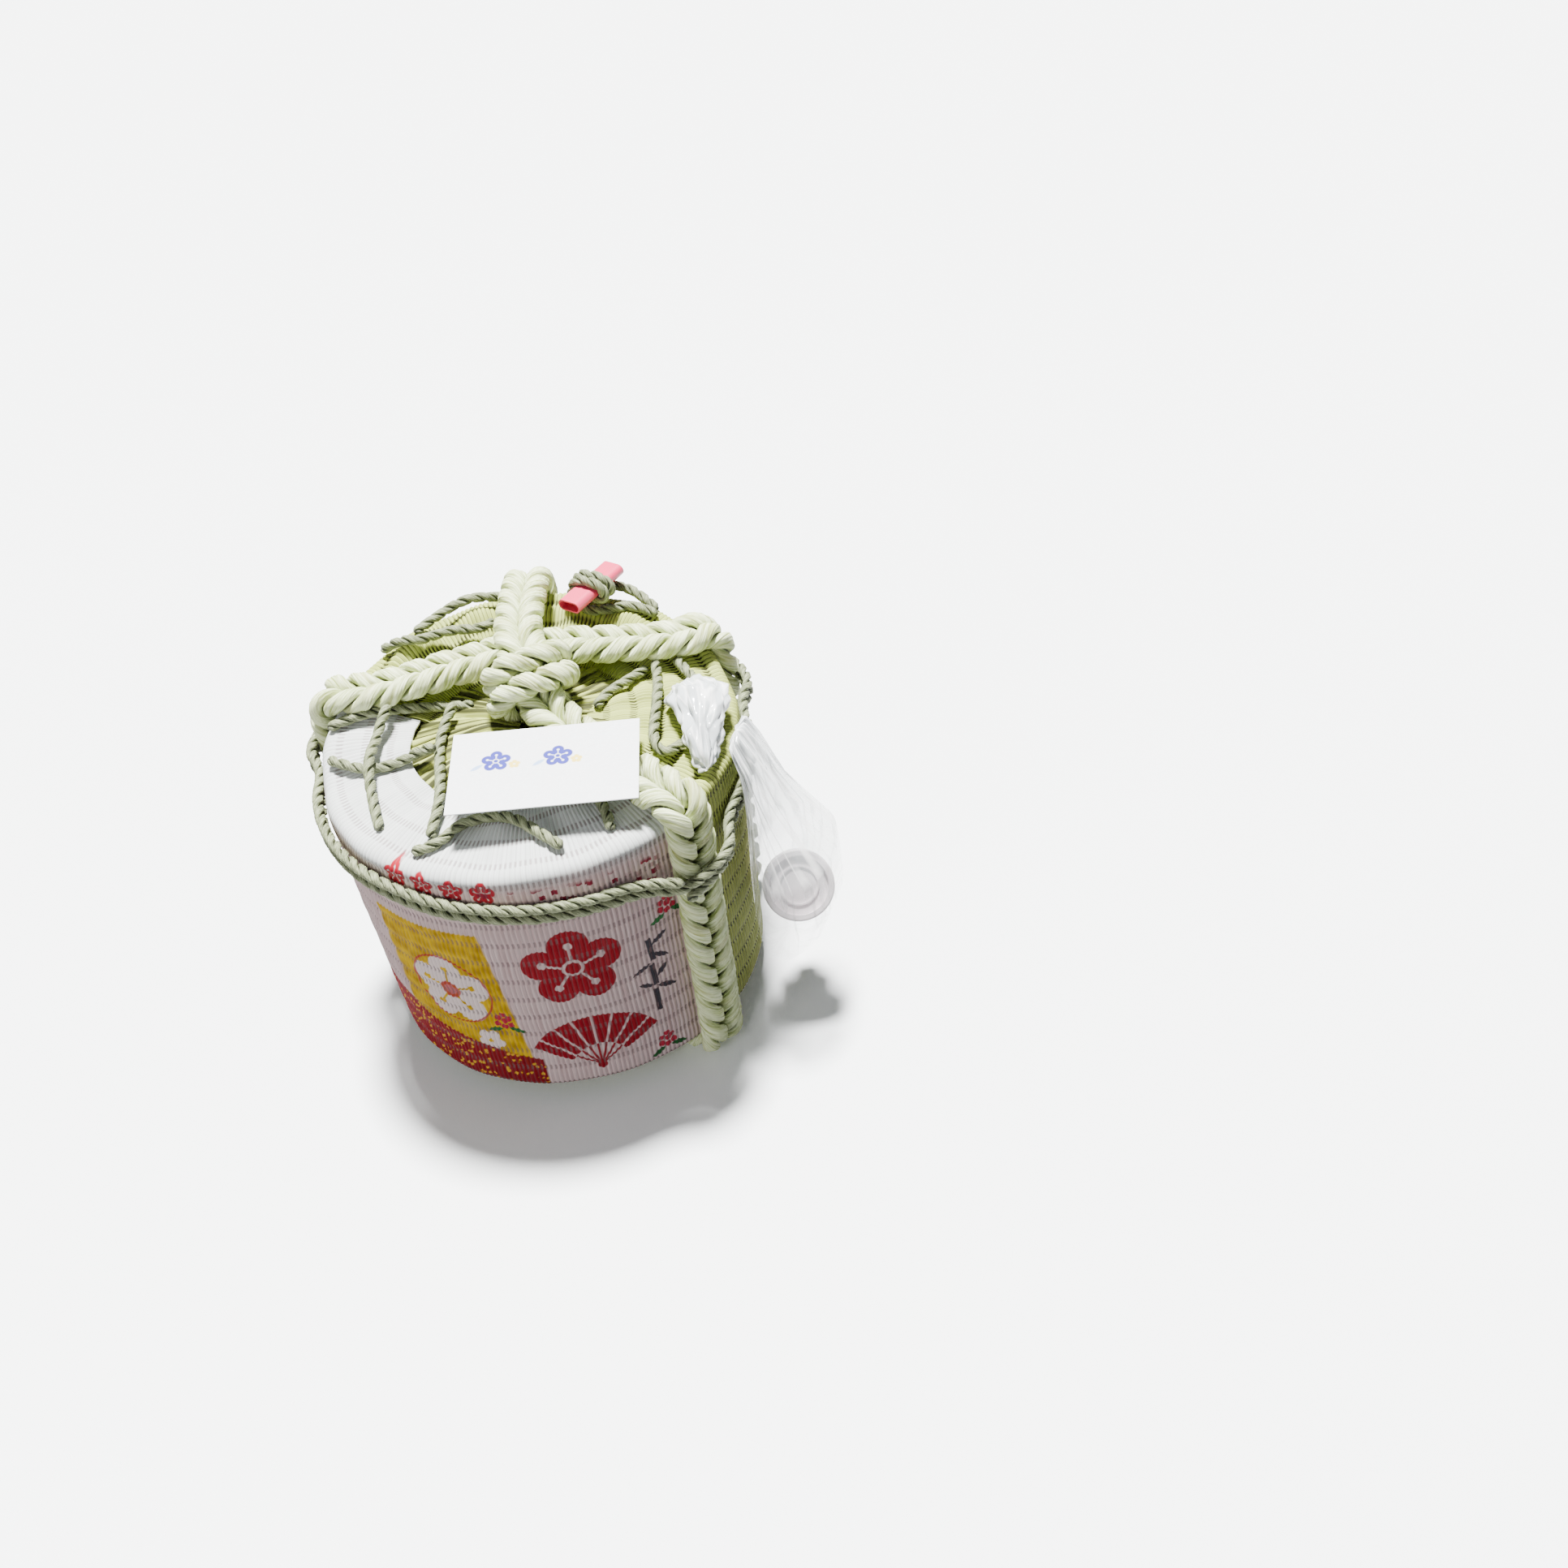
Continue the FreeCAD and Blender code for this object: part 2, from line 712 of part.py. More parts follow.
lace_routes = {
    "lace_left_edge": (
        (-92, 33, 0), (-83, 34, 1), (-68, 33, 2), (-50, 32, 2), (-35, 30, 1), (-22, 24, 1),
    ),
    "lace_left_down": (
        (-61, 30, 7), (-65, 24, 5), (-70, 13, 1), (-73, 3, 5), (-75, -5, 6), (-76, -16, 3),
        (-76, -31, 0), (-75, -46, 0),
    ),
    "lace_left_cross": (
        (-94, 13, 0), (-87, 6, 0), (-75, -3, 0), (-60, -3, 0), (-50, -5, 5), (-43, -9, 6),
    ),
    "lace_middle_down": (
        (-31, 22, 7), (-36, 13, 3), (-41, 2, 0), (-43, -12, 0), (-44, -30, 3), (-47, -49, 3),
        (-54, -62, 0),
    ),
    "lace_front": (
        (-63, -66, 0), (-52, -68, 0), (-41, -60, 1), (-28, -59, 1), (-16, -66, 2), (-8, -77, 1),
        (2, -89, 0),
    ),
    "lace_front_right": ((24, -86, 0), (25, -76, 1), (22, -64, 1)),
    "lace_knot_right": ((63, 20, 1), (50, 13, 2), (41, 5, 2), (33, -3, 1)),
    "lace_right_down": (
        (67, 21, 3), (66, 11, 2), (64, -2, 2), (61, -14, 3), (57, -27, 3), (54, -38, 2),
        (55, -47, 2), (62, -47, 1), (67, -41, 0),
    ),
    "lace_right_edge": ((77, 20, 2), (79, 13, 2), (81, 5, 2), (83, -2, 0)),
    "lace_back_left": (
        (-42, 74, 0), (-34, 82, 4), (-24, 88, 5), (-13, 88, 5), (-4, 90, 4), (4, 92, 3),
    ),
    "lace_back_left_inner": (
        (-60, 76, 0), (-50, 70, 2), (-40, 67, 5), (-30, 73, 5), (-20, 74, 5), (-10, 70, 7), (-2, 74, 6),
    ),
    "lace_back_right": ((38, 86, 2), (47, 80, 4), (61, 80, 4), (70, 73, 2), (77, 60, -1)),
    "lace_back_right_inner": (
        (33, 77, 2.5), (39, 71, 1.0), (44, 66, 0.8), (55, 65, 0.5), (66, 62, 2), (76, 54, 1),
    ),
}


def lace(name):
    route = []
    for place in lace_routes[name]:
        x, y, lift = [length * rim_hundredth for length in place]
        level = cloth_level(x, y) + thin_radius + rest_gap + lift
        route.append((Vector(x, y, level), no_limit))
    return tube(route, thin_radius, name)


# Card, a plain rectangle that lies on the front pair, a little lower at its
# right end and at its front edge

def label_card():
    card = Part.makeBox(
        card_length, card_width, card_thickness,
        Vector(-card_length / 2, -card_width / 2, -card_thickness / 2),
    )
    card.rotate(centre, Vector(1, 0, 0), card_pitch)
    card.rotate(centre, Vector(0, 1, 0), card_roll)
    card.rotate(centre, upward, card_turn)
    card.translate(Vector(card_x, card_y, top_level + card_height))
    return card


# Pull sleeve

def slot_face(width, height):
    bend = height / 2
    span = width / 2 - bend
    top = Part.LineSegment(Vector(0, -span, bend), Vector(0, span, bend))
    right = Part.Arc(Vector(0, span, bend), Vector(0, span + bend, 0), Vector(0, span, -bend))
    foot = Part.LineSegment(Vector(0, span, -bend), Vector(0, -span, -bend))
    left = Part.Arc(Vector(0, -span, -bend), Vector(0, -span - bend, 0), Vector(0, -span, bend))
    return Part.Face(Part.Wire([edge.toShape() for edge in (top, right, foot, left)]))


sleeve_middle = Vector(sleeve_x, sleeve_y, top_level + sleeve_rise)


def pull_sleeve():
    outer = slot_face(sleeve_width, sleeve_height)
    inner = slot_face(sleeve_width - 2 * sleeve_wall, sleeve_height - 2 * sleeve_wall)
    sleeve = outer.cut(inner).extrude(Vector(sleeve_length, 0, 0))
    sleeve.translate(Vector(-sleeve_length / 2, 0, 0))
    sleeve.rotate(centre, upward, sleeve_heading)
    sleeve.translate(sleeve_middle)
    return sleeve


def sleeve_binding():
    axes = (heading(sleeve_heading), across(sleeve_heading), upward)
    bend = sleeve_height / 2 + thin_radius + rest_gap
    span = (sleeve_width - sleeve_height) / 2
    return flat_winding("sleeve_binding", sleeve_middle, axes, bend, span, sleeve_turns, thin_radius)


# Pouring plug: a round cap, a barrel behind it and a short nose, on one axis

def aimed(shape):
    shape.rotate(centre, Vector(0, 1, 0), 90 - cap_pitch)
    shape.rotate(centre, upward, cap_azimuth)
    shape.translate(polar(mat_top_radius + cap_out, cap_from, base_level + cap_height))
    return shape


def pouring_cap():
    edge = cap_recess / 2
    corners = [
        (0, -cap_length, 0), (cap_radius, -cap_length, edge), (cap_radius, 0, edge),
        (cap_recess_radius, 0, 0), (cap_recess_radius, -cap_recess, 0),
        (cap_ring_radius + cap_ring_height, -cap_recess, 0),
        (cap_ring_radius + cap_ring_height, -cap_recess + cap_ring_height, 0),
        (cap_ring_radius, -cap_recess + cap_ring_height, 0), (cap_ring_radius, -cap_recess, 0),
        (0, -cap_recess, 0),
    ]
    return aimed(turned(corners, 0, 360))


def pouring_plug():
    seat = -cap_length
    foot = seat - plug_length
    tip = foot - nose_length
    corners = [
        (0, tip, 0), (nose_radius, tip, nose_radius / 4), (nose_radius, foot, 0),
        (plug_radius, foot, plug_radius / 6), (plug_radius, seat, 0), (0, seat, 0),
    ]
    return aimed(turned(corners, 0, 360))


# Film bag: oval sections from the rim down. Each has its height, its distance
# out from the rim, half its breadth and half its depth, in cap radii. Those
# above the cap are placed by shares of the way from the cap up to the bag's top.

bag_neck_shares = ((1.0, 0.171, 0.8, 0.137), (0.851, 0.457, 0.971, 0.2), (0.552, 0.771, 1.314, 0.514))
bag_belly_shares = (
    (1.145, 1.286, 2.0, 1.143), (-0.322, 1.286, 2.171, 1.171), (-1.444, 1.086, 1.943, 0.971),
    (-2.134, 0.857, 1.257, 0.4),
)


def oval(middle, side, out, breadth, depth):
    edges = []
    for quarter in range(8):
        angles = [math.radians(45 * (quarter + share)) for share in (0, 0.5, 1)]
        places = [
            middle + side * breadth * math.cos(angle) + out * depth * math.sin(angle)
            for angle in angles
        ]
        edges.append(Part.Arc(*places).toShape())
    return Part.Wire(edges)


def bag_loft(inset):
    heights = [cap_height + (bag_top - cap_height) * share[0] for share in bag_neck_shares]
    heights += [cap_height + cap_radius * share[0] for share in bag_belly_shares]
    heights[0] -= inset
    heights[-1] += inset
    sections = []
    for height, share in zip(heights, bag_neck_shares + bag_belly_shares):
        out, breadth, depth = [cap_radius * part for part in share[1:]]
        sections.append(oval(
            polar(mat_top_radius + out, bag_azimuth, base_level + height),
            across(bag_azimuth), heading(bag_azimuth), breadth - inset, depth - inset,
        ))
    return Part.makeLoft(sections, True, True)


def film_bag():
    return bag_loft(0).cut(bag_loft(bag_film))


# The bag's bunched top, tied down on the mat beside the rim

bunch_shares = (
    (-0.08, 0.76, 0.04, 0.03), (-0.2, 0.78, 0.085, 0.06), (-0.36, 0.795, 0.1, 0.075),
    (-0.5, 0.77, 0.09, 0.06), (-0.6, 0.74, 0.05, 0.03),
)


def bag_bunch():
    sections = []
    for y_share, x_share, breadth, depth in bunch_shares:
        x = x_share * mat_top_radius
        y = y_share * mat_top_radius
        level = crown_level(math.hypot(x, y)) + bunch_lift + depth * mat_top_radius
        sections.append(oval(
            Vector(x, y, level), Vector(1, 0, 0), upward,
            breadth * mat_top_radius, depth * mat_top_radius,
        ))
    return Part.makeLoft(sections, True, True)


os.makedirs("parts", exist_ok=True)
for index in range(stave_count):
    piece = stave()
    piece.rotate(centre, upward, index * 360 / stave_count)
    save("stave_%02d" % (index + 1), piece)
lid_foot = stave_top - lid_recess - board_thickness
taper = (bung_top_radius - bung_foot_radius) / bung_length
bung_foot = lid_foot - (bung_length - board_thickness) / 3
hole_low = bung_foot_radius + taper * (lid_foot - overrun - bung_foot) + joint_gap / 2
hole_high = hole_low + taper * (board_thickness + 2 * overrun)
floor_names = ("bottom_board_left", "bottom_board_middle", "bottom_board_right")
lid_names = ("lid_board_left", "lid_board_middle", "lid_board_right")
for name, piece in boards(stave_foot + bottom_recess, floor_names, None).items():
    save(name, piece)
for name, piece in boards(lid_foot, lid_names, (hole_low, hole_high)).items():
    save(name, piece)
save("bung", Part.makeCone(bung_foot_radius, bung_top_radius, bung_length, Vector(0, 0, bung_foot)))
for name, share in hoop_shares.items():
    save(name, hoop(share))
save("straw_packing", straw_packing())
save("top_pad", top_pad())
save("foot_mat", foot_mat())
save("front_mat", front_mat())
save("plain_mat", plain_mat())
save("mat_gather", mat_gather())
save("thick_rope_front", thick_rope_front())
save("thick_rope_back", thick_rope_back())
save("top_knot", top_knot())
save("girth_rope", girth_rope())
for name in lace_routes:
    save(name, lace(name))
save("label_card", label_card())
save("pull_sleeve", pull_sleeve())
save("sleeve_binding", sleeve_binding())
save("pouring_cap", pouring_cap())
save("pouring_plug", pouring_plug())
save("film_bag", film_bag())
save("bag_bunch", bag_bunch())
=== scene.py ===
import json
import math

import bmesh
import bpy
import numpy as np
from mathutils import Matrix, Vector


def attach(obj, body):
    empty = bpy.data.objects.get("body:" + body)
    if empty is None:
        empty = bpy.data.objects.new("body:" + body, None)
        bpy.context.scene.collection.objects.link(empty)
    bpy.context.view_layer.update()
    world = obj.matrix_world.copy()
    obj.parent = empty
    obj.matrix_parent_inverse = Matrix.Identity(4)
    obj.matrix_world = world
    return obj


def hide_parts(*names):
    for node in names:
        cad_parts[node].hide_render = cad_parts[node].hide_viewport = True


# A straw-wrapped sake barrel. Places are in millimetres in the part's frame:
# Z is up, the printed front faces -Y, azimuths are degrees from +X to +Y.

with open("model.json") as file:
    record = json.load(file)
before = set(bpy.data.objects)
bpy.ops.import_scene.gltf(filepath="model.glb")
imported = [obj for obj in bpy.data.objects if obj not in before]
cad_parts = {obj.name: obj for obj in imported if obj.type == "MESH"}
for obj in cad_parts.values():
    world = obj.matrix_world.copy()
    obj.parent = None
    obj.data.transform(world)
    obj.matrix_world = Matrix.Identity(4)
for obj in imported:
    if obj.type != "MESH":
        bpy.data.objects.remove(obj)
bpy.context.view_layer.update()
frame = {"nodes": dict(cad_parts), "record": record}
mm = 0.001

# Sizes shared with the frame
base_level = 10.8
mat_height = 140.0
top_level = base_level + mat_height
base_radius = 94.0
rim_radius = 100.0
rim_rounding = 6.0
crown = 7.0
back_rise = 16.0
back_rise_from = 50.0
gather_radius = 28.0
flap_radius = 56.0
thick_rope = 11.0
thin_rope = 4.6
pair_offset = 5.8
side_offset = 5.8
rope_level = 5.0
front_leg = -56.5
right_leg = 19.0
back_leg = 79.0
left_leg = 150.0
crossing = Vector((7.0, 44.5, 172.3))
over_level = 183.6
knot_middle = Vector((7.0, 9.5, 174.8))
knot_heading = -87.0
knot_pitch = 40.0
straw_pitch = 2.45
stitch_pitch = 12.5
seed = 7
merge_gap = 1e-6

# A strand's oval, as shares of its rope's width
strand_reach = 0.24
strand_depth = 0.26
strand_breadth = 0.4

# How a strand thins at its ends, and how its width wanders along the rope
taper_share = 0.35
taper_least = 0.02
wander_share = 0.035
wander_steps = 4


def turned_to(azimuth):
    angle = math.radians(azimuth)
    return Vector((math.cos(angle), math.sin(angle), 0))


def polar(radius, azimuth, height):
    place = turned_to(azimuth) * radius
    place.z = height
    return place


# Camera

eye = Vector((0, -718.396, 680.715))
look = Vector((0.12451854, 0.76286409, -0.63445529))
right = Vector((0.96105965, -0.25171283, -0.11403944))
over = Vector((0.24669713, 0.59554936, 0.76450081))
film_width = 36.0
picture_side = 1932
focal_pixels = 2300

camera_data = bpy.data.cameras.new("camera")
camera_data.sensor_width = film_width
camera_data.lens = film_width * focal_pixels / picture_side
camera_data.clip_end = 20
camera = bpy.data.objects.new("camera", camera_data)
turn = Matrix((right, over, -look)).transposed().to_4x4()
camera.matrix_world = Matrix.Translation(eye * mm) @ turn
bpy.context.collection.objects.link(camera)
bpy.context.scene.camera = camera


# Meshes: a grid of quads whose places come from a function of its two shares

def grid(name, columns, rows, place):
    made = bmesh.new()
    made.loops.layers.uv.new("UVMap")
    bmesh.ops.create_grid(made, x_segments=columns, y_segments=rows, size=0.5, calc_uvs=True)
    mesh = bpy.data.meshes.new(name)
    made.to_mesh(mesh)
    made.free()
    shares = np.empty(len(mesh.vertices) * 3)
    mesh.vertices.foreach_get("co", shares)
    shares = shares.reshape(-1, 3) + 0.5
    places = place(shares[:, 0], shares[:, 1])
    mesh.vertices.foreach_set("co", (np.asarray(places) * mm).ravel())
    return mesh


def piece(name, meshes, finish, body="barrel", replaced=(), wall=0.0):
    # the meshes in one object, their touching edges merged
    made = bmesh.new()
    for mesh in meshes:
        made.from_mesh(mesh)
        bpy.data.meshes.remove(mesh)
    bmesh.ops.remove_doubles(made, verts=made.verts, dist=merge_gap)
    for face in made.faces:
        face.smooth = True
    mesh = bpy.data.meshes.new(name)
    made.to_mesh(mesh)
    made.free()
    mesh.materials.append(finish)
    thing = bpy.data.objects.new(name, mesh)
    bpy.context.collection.objects.link(thing)
    if wall:
        solidify = thing.modifiers.new("wall", "SOLIDIFY")
        solidify.thickness = wall * mm
        solidify.offset = -1
    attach(thing, body)
    if replaced:
        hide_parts(*replaced)
    return thing


# Lines: a smooth curve through the places, read back as even steps

def line(points, step):
    curve = bpy.data.curves.new("route", "CURVE")
    curve.dimensions = "3D"
    spline = curve.splines.new("NURBS")
    spline.points.add(len(points) - 1)
    for knob, point in zip(spline.points, points):
        knob.co = (*point, 1)
    spline.order_u = 3
    spline.use_endpoint_u = True
    spline.resolution_u = 24
    thing = bpy.data.objects.new("route", curve)
    mesh = bpy.data.meshes.new_from_object(thing)
    places = np.empty(len(mesh.vertices) * 3)
    mesh.vertices.foreach_get("co", places)
    places = places.reshape(-1, 3)
    bpy.data.meshes.remove(mesh)
    bpy.data.objects.remove(thing)
    bpy.data.curves.remove(curve)
    run = np.concatenate([[0], np.cumsum(np.linalg.norm(np.diff(places, axis=0), axis=1))])
    steps = max(8, int(run[-1] / step))
    along = np.linspace(0, run[-1], steps + 1)
    return np.stack([np.interp(along, run, places[:, axis]) for axis in range(3)], axis=1), along


def sections(places):
    # two cross directions that don't twist along the line
    tangents = np.gradient(places, axis=0)
    tangents /= np.linalg.norm(tangents, axis=1)[:, None]
    side = np.cross(tangents[0], (0, 0, 1))
    if np.linalg.norm(side) < 0.1:
        side = np.cross(tangents[0], (1, 0, 0))
    sides = []
    for tangent in tangents:
        side = side - tangent * side.dot(tangent)
        side /= np.linalg.norm(side)
        sides.append(side)
    sides = np.array(sides)
    return sides, np.cross(tangents, sides)


def strands(name, points, width, lay, flip=None, step=1.9, around=14, floor=False):
    # a laid rope: two plump strands wound round one line, each an oval in
    # section so that the rope stays nearly round, their lay turned over at flip
    places, along = line(points, step)
    sides, rises = sections(places)
    twist = along
    if flip is not None:
        nearest = np.argmin(np.linalg.norm(places - np.array(flip), axis=1))
        twist = -np.abs(along - along[nearest])
    total = along[-1]
    count = len(along) - 1
    taper = np.clip(np.minimum(along, total - along) / (width * taper_share), taper_least, 1) ** 0.5
    wander = np.random.default_rng(seed)
    meshes = []
    for number in range(2):
        knots = wander.normal(0, wander_share, len(along) // wander_steps + 4)
        stops = np.arange(len(along)) / wander_steps
        swell = taper * (1 + np.interp(stops, np.arange(len(knots)), knots))
        angle = (2 * math.pi * twist / lay + math.pi * number)[:, None]
        outward = np.cos(angle) * sides + np.sin(angle) * rises
        onward = np.cos(angle) * rises - np.sin(angle) * sides
        reach = []

        def place(u, v):
            row = np.rint(v * count).astype(int)
            turn = 2 * math.pi * u
            out = (strand_reach + strand_depth * np.cos(turn)) * width * swell[row]
            aside = strand_breadth * np.sin(turn) * width * swell[row]
            reach.append(np.hypot(out, aside) / (width / 2))
            spots = places[row] + outward[row] * out[:, None] + onward[row] * aside[:, None]
            if floor:
                spots[:, 2] = np.maximum(spots[:, 2], 0)
            return spots

        mesh = grid(name, around, count, place)
        mesh.attributes.new("outward", "FLOAT", "POINT").data.foreach_set("value", reach[0])
        stretch(mesh, 1, total / width)
        meshes.append(mesh)
    return meshes


def stretch(mesh, across, along):
    # UVs in real proportion, so a pattern keeps its scale along a rope
    layer = mesh.uv_layers[0].data
    flat = np.empty(len(layer) * 2)
    layer.foreach_get("uv", flat)
    flat = flat.reshape(-1, 2) * (across, along)
    layer.foreach_set("uv", flat.ravel())


# Finishes: node trees written as sums and products

class Wire:
    def __init__(self, finish, socket):
        self.finish = finish
        self.socket = socket

    def maths(self, operation, first, second):
        return self.finish.node("ShaderNodeMath", {"operation": operation}, {0: first, 1: second})

    def __add__(self, other):
        return self.maths("ADD", self, other)

    __radd__ = __add__

    def __sub__(self, other):
        return self.maths("SUBTRACT", self, other)

    def __rsub__(self, other):
        return self.maths("SUBTRACT", other, self)

    def __mul__(self, other):
        return self.maths("MULTIPLY", self, other)

    __rmul__ = __mul__

    def __truediv__(self, other):
        return self.maths("DIVIDE", self, other)

    def size(self):
        return self.maths("ABSOLUTE", self, 0)

    def part(self):
        return self.maths("FRACT", self, 0)

    def least(self, other):
        return self.maths("MINIMUM", self, other)

    def most(self, other):
        return self.maths("MAXIMUM", self, other)

    def root(self):
        return self.maths("SQRT", self, 0)

    def edge(self, sharpness=2.0):
        # 1 where the value is positive, 0 where it is negative
        settings = {"operation": "MULTIPLY_ADD", "use_clamp": True}
        return self.finish.node("ShaderNodeMath", settings, {0: self, 1: sharpness, 2: 0.5})


class Finish:
    def __init__(self, name, roughness=0.7, **constants):
        self.material = bpy.data.materials.new(name)
        self.material.use_nodes = True
        self.tree = self.material.node_tree
        self.surface = self.tree.nodes["Principled BSDF"]
        self.surface.inputs["Roughness"].default_value = roughness
        for socket, value in constants.items():
            self.surface.inputs[socket.replace("_", " ")].default_value = value

    def node(self, kind, settings, inputs, output=0):
        made = self.tree.nodes.new(kind)
        for name, value in settings.items():
            setattr(made, name, value)
        for name, value in inputs.items():
            if isinstance(value, Wire):
                self.tree.links.new(value.socket, made.inputs[name])
            else:
                made.inputs[name].default_value = value
        return Wire(self, made.outputs[output])

    def mixed(self, factor, first, second):
        settings = {"data_type": "RGBA", "clamp_factor": True}
        colours = {
            slot: value if isinstance(value, Wire) else (*value, 1)
            for slot, value in ((6, first), (7, second))
        }
        return self.node("ShaderNodeMix", settings, {0: factor, **colours}, 2)

    def axes(self, vector):
        split = self.node("ShaderNodeSeparateXYZ", {}, {0: vector})
        outputs = split.socket.node.outputs
        return [Wire(self, output) for output in outputs]

    def place(self):
        return self.node("ShaderNodeTexCoord", {}, {}, "Object")

    def chart(self):
        return self.node("ShaderNodeTexCoord", {}, {}, "UV")

    def attribute(self, name):
        return self.node("ShaderNodeAttribute", {"attribute_name": name}, {}, "Fac")

    def vector(self, x, y, z=0.0):
        return self.node("ShaderNodeCombineXYZ", {}, {0: x, 1: y, 2: z})

    def noise(self, vector, scale, detail=2.0):
        return self.node("ShaderNodeTexNoise", {}, {"Vector": vector, "Scale": scale, "Detail": detail})

    def colour(self, value):
        self.feed("Base Color", value)

    def feed(self, socket, value):
        self.tree.links.new(value.socket, self.surface.inputs[socket])

    def bump(self, height, strength, distance):
        inputs = {"Strength": strength, "Distance": distance * mm, "Height": height}
        self.feed("Normal", self.node("ShaderNodeBump", {}, inputs))


def rgb(code):
    # a screen colour as the linear values that a shader takes
    values = [int(code[index:index + 2], 16) / 255 for index in (0, 2, 4)]
    return tuple(((value + 0.055) / 1.055) ** 2.4 if value > 0.04 else value / 12.92 for value in values)


def dimmed(colour, share):
    return tuple(value * share for value in colour)


# Straw of ropes: fibres run along each strand, and the grooves between the strands get painted shade

def rope_straw(name, pale, dull, shade, fibres):
    finish = Finish(name, 0.62)
    around, along = finish.axes(finish.chart())[:2]
    fine = finish.noise(finish.vector(around * fibres, along * 0.35, 0), 4.0, 3.0)
    patch = finish.noise(finish.vector(around * 1.5, along * 0.35, 3.0), 1.6, 2.0)
    streak = ((fine - 0.34) * 3.6).most(0).least(1)
    tone = finish.mixed(streak, dull, pale)
    worn = ((patch - 0.5) * 3.5).most(0).least(1)
    tone = finish.mixed(worn * 0.5, tone, shade)
    dark = ((0.36 - fine) * 6).most(0).least(1)
    tone = finish.mixed(dark * 0.55, tone, dimmed(dull, 0.3))
    outward = finish.attribute("outward")
    # painted shade: the strand surface close to the rope's middle, in the grooves between strands, is
    # darkened
    crease = ((0.72 - outward) * 3.0).most(0).least(1)
    tone = finish.mixed(crease * 0.85, tone, dimmed(dull, 0.16))
    finish.colour(tone)
    finish.bump(fine, 1.0, 1.1)
    return finish.material


thick_straw = rope_straw("thick_straw", rgb("e6efc4"), rgb("9daa60"), rgb("9c9450"), 3.5)
thin_straw = rope_straw("thin_straw", rgb("959c78"), rgb("565e3e"), rgb("4d5336"), 3.0)


# Mats: columns to a straw, rows to a stitch and the rows that the rim takes

straw_columns = 4
stitch_rows = 5
rim_rows = 0.75
mat_wall = 1.6
flap_outer = 90.0


def back_lift(azimuth):
    return back_rise * np.maximum(np.sin(np.radians(azimuth)), 0) ** 0.8


def crown_level(radius, azimuth):
    shoulder = rim_radius - rim_rounding
    way = np.clip((radius - back_rise_from) / (shoulder - back_rise_from), 0, 1)
    return top_level + crown * (1 - radius / shoulder) + back_lift(azimuth) * way


def mat_radius(level):
    return base_radius + (level - base_level) * (rim_radius - base_radius) / mat_height


def mat_places(azimuth, share, inner, shares, lift_at):
    # a mat's outer face: up the side, over the rim and in across the top
    side_share, rim_share = shares
    shoulder = rim_radius - rim_rounding
    lift = back_lift(azimuth)
    turn_level = top_level + lift - rim_rounding
    up = np.clip(share / side_share, 0, 1)
    bend = np.clip((share - side_share) / (rim_share - side_share), 0, 1) * math.pi / 2
    inward = np.clip((share - rim_share) / (1 - rim_share), 0, 1)
    side_level = base_level + (turn_level - base_level) * up
    reach = shoulder + (inner - shoulder) * inward
    radius = np.where(share < side_share, mat_radius(side_level), shoulder + rim_rounding * np.cos(bend))
    level = np.where(share < side_share, side_level, turn_level + rim_rounding * np.sin(bend))
    on_top = share > rim_share
    radius = np.where(on_top, reach, radius)
    level = np.where(on_top, crown_level(reach, azimuth) + lift_at(azimuth, reach), level)
    out = np.where(on_top, 0, np.cos(bend))
    rise = np.where(on_top, 1, np.sin(bend))
    return radius, level, out, rise


def woven(name, start, sweep, inner, rows_top, lift_at, weave):
    straws = round(math.radians(sweep) * (rim_radius - 2) / straw_pitch)
    side_rows = round((mat_height - rim_rounding) / stitch_pitch)
    rows = side_rows + rim_rows + rows_top
    shares = (side_rows / rows, (side_rows + rim_rows) / rows)
    relief = []

    def place(u, v):
        azimuth = start + sweep * u
        radius, level, out, rise = mat_places(azimuth, v, inner, shares, lift_at)
        height = weave(u * straws, v * rows, v > shares[0], radius)
        relief.append(height)
        lean = 0.8 * np.sin(v * rows * 0.9)
        angle = np.radians(azimuth + lean * 0.25)
        radius = radius + height * out
        return np.stack([radius * np.cos(angle), radius * np.sin(angle), level + height * rise], axis=1)

    mesh = grid(name, straws * straw_columns, round(rows * stitch_rows), place)
    mesh.attributes.new("relief", "FLOAT", "POINT").data.foreach_set("value", relief[0])
    stretch(mesh, straws, rows)
    return mesh


def ripple(straw, stitch, depth, swell):
    # straws side by side, pinched where each stitch row crosses them
    ridge = np.abs(np.sin(math.pi * straw)) - 0.6
    pinch = np.abs(np.sin(math.pi * stitch)) ** 0.5
    return depth * ridge * (0.4 + 0.6 * pinch) + swell * (pinch - 0.7)


def lumps(straw, stitch, size, number):
    # soft unevenness that repeats nowhere
    a = np.sin(straw * 0.37 + number) * np.sin(stitch * 1.3 + number * 2.1)
    b = np.sin(straw * 0.11 + number * 1.7 + stitch * 0.6)
    return size * (0.5 * a + 0.5 * b)


def front_weave(straw, stitch, on_top, radius):
    depth = np.where(on_top, 0.4, 0.7)
    swell = np.where(on_top, 0.2, 0.9)
    return ripple(straw, stitch, depth, swell) + lumps(straw, stitch, np.where(on_top, 1.4, 0.4), 1)


def plain_weave(straw, stitch, on_top, radius):
    near = np.clip((radius - gather_radius) / 30, 0.35, 1)
    depth = np.where(on_top, 1.0 * near, 0.75)
    swell = np.where(on_top, 2.9 * near, 0.9)
    return ripple(straw, stitch, depth, swell) + lumps(straw, stitch, np.where(on_top, 1.2, 0.4), 4)


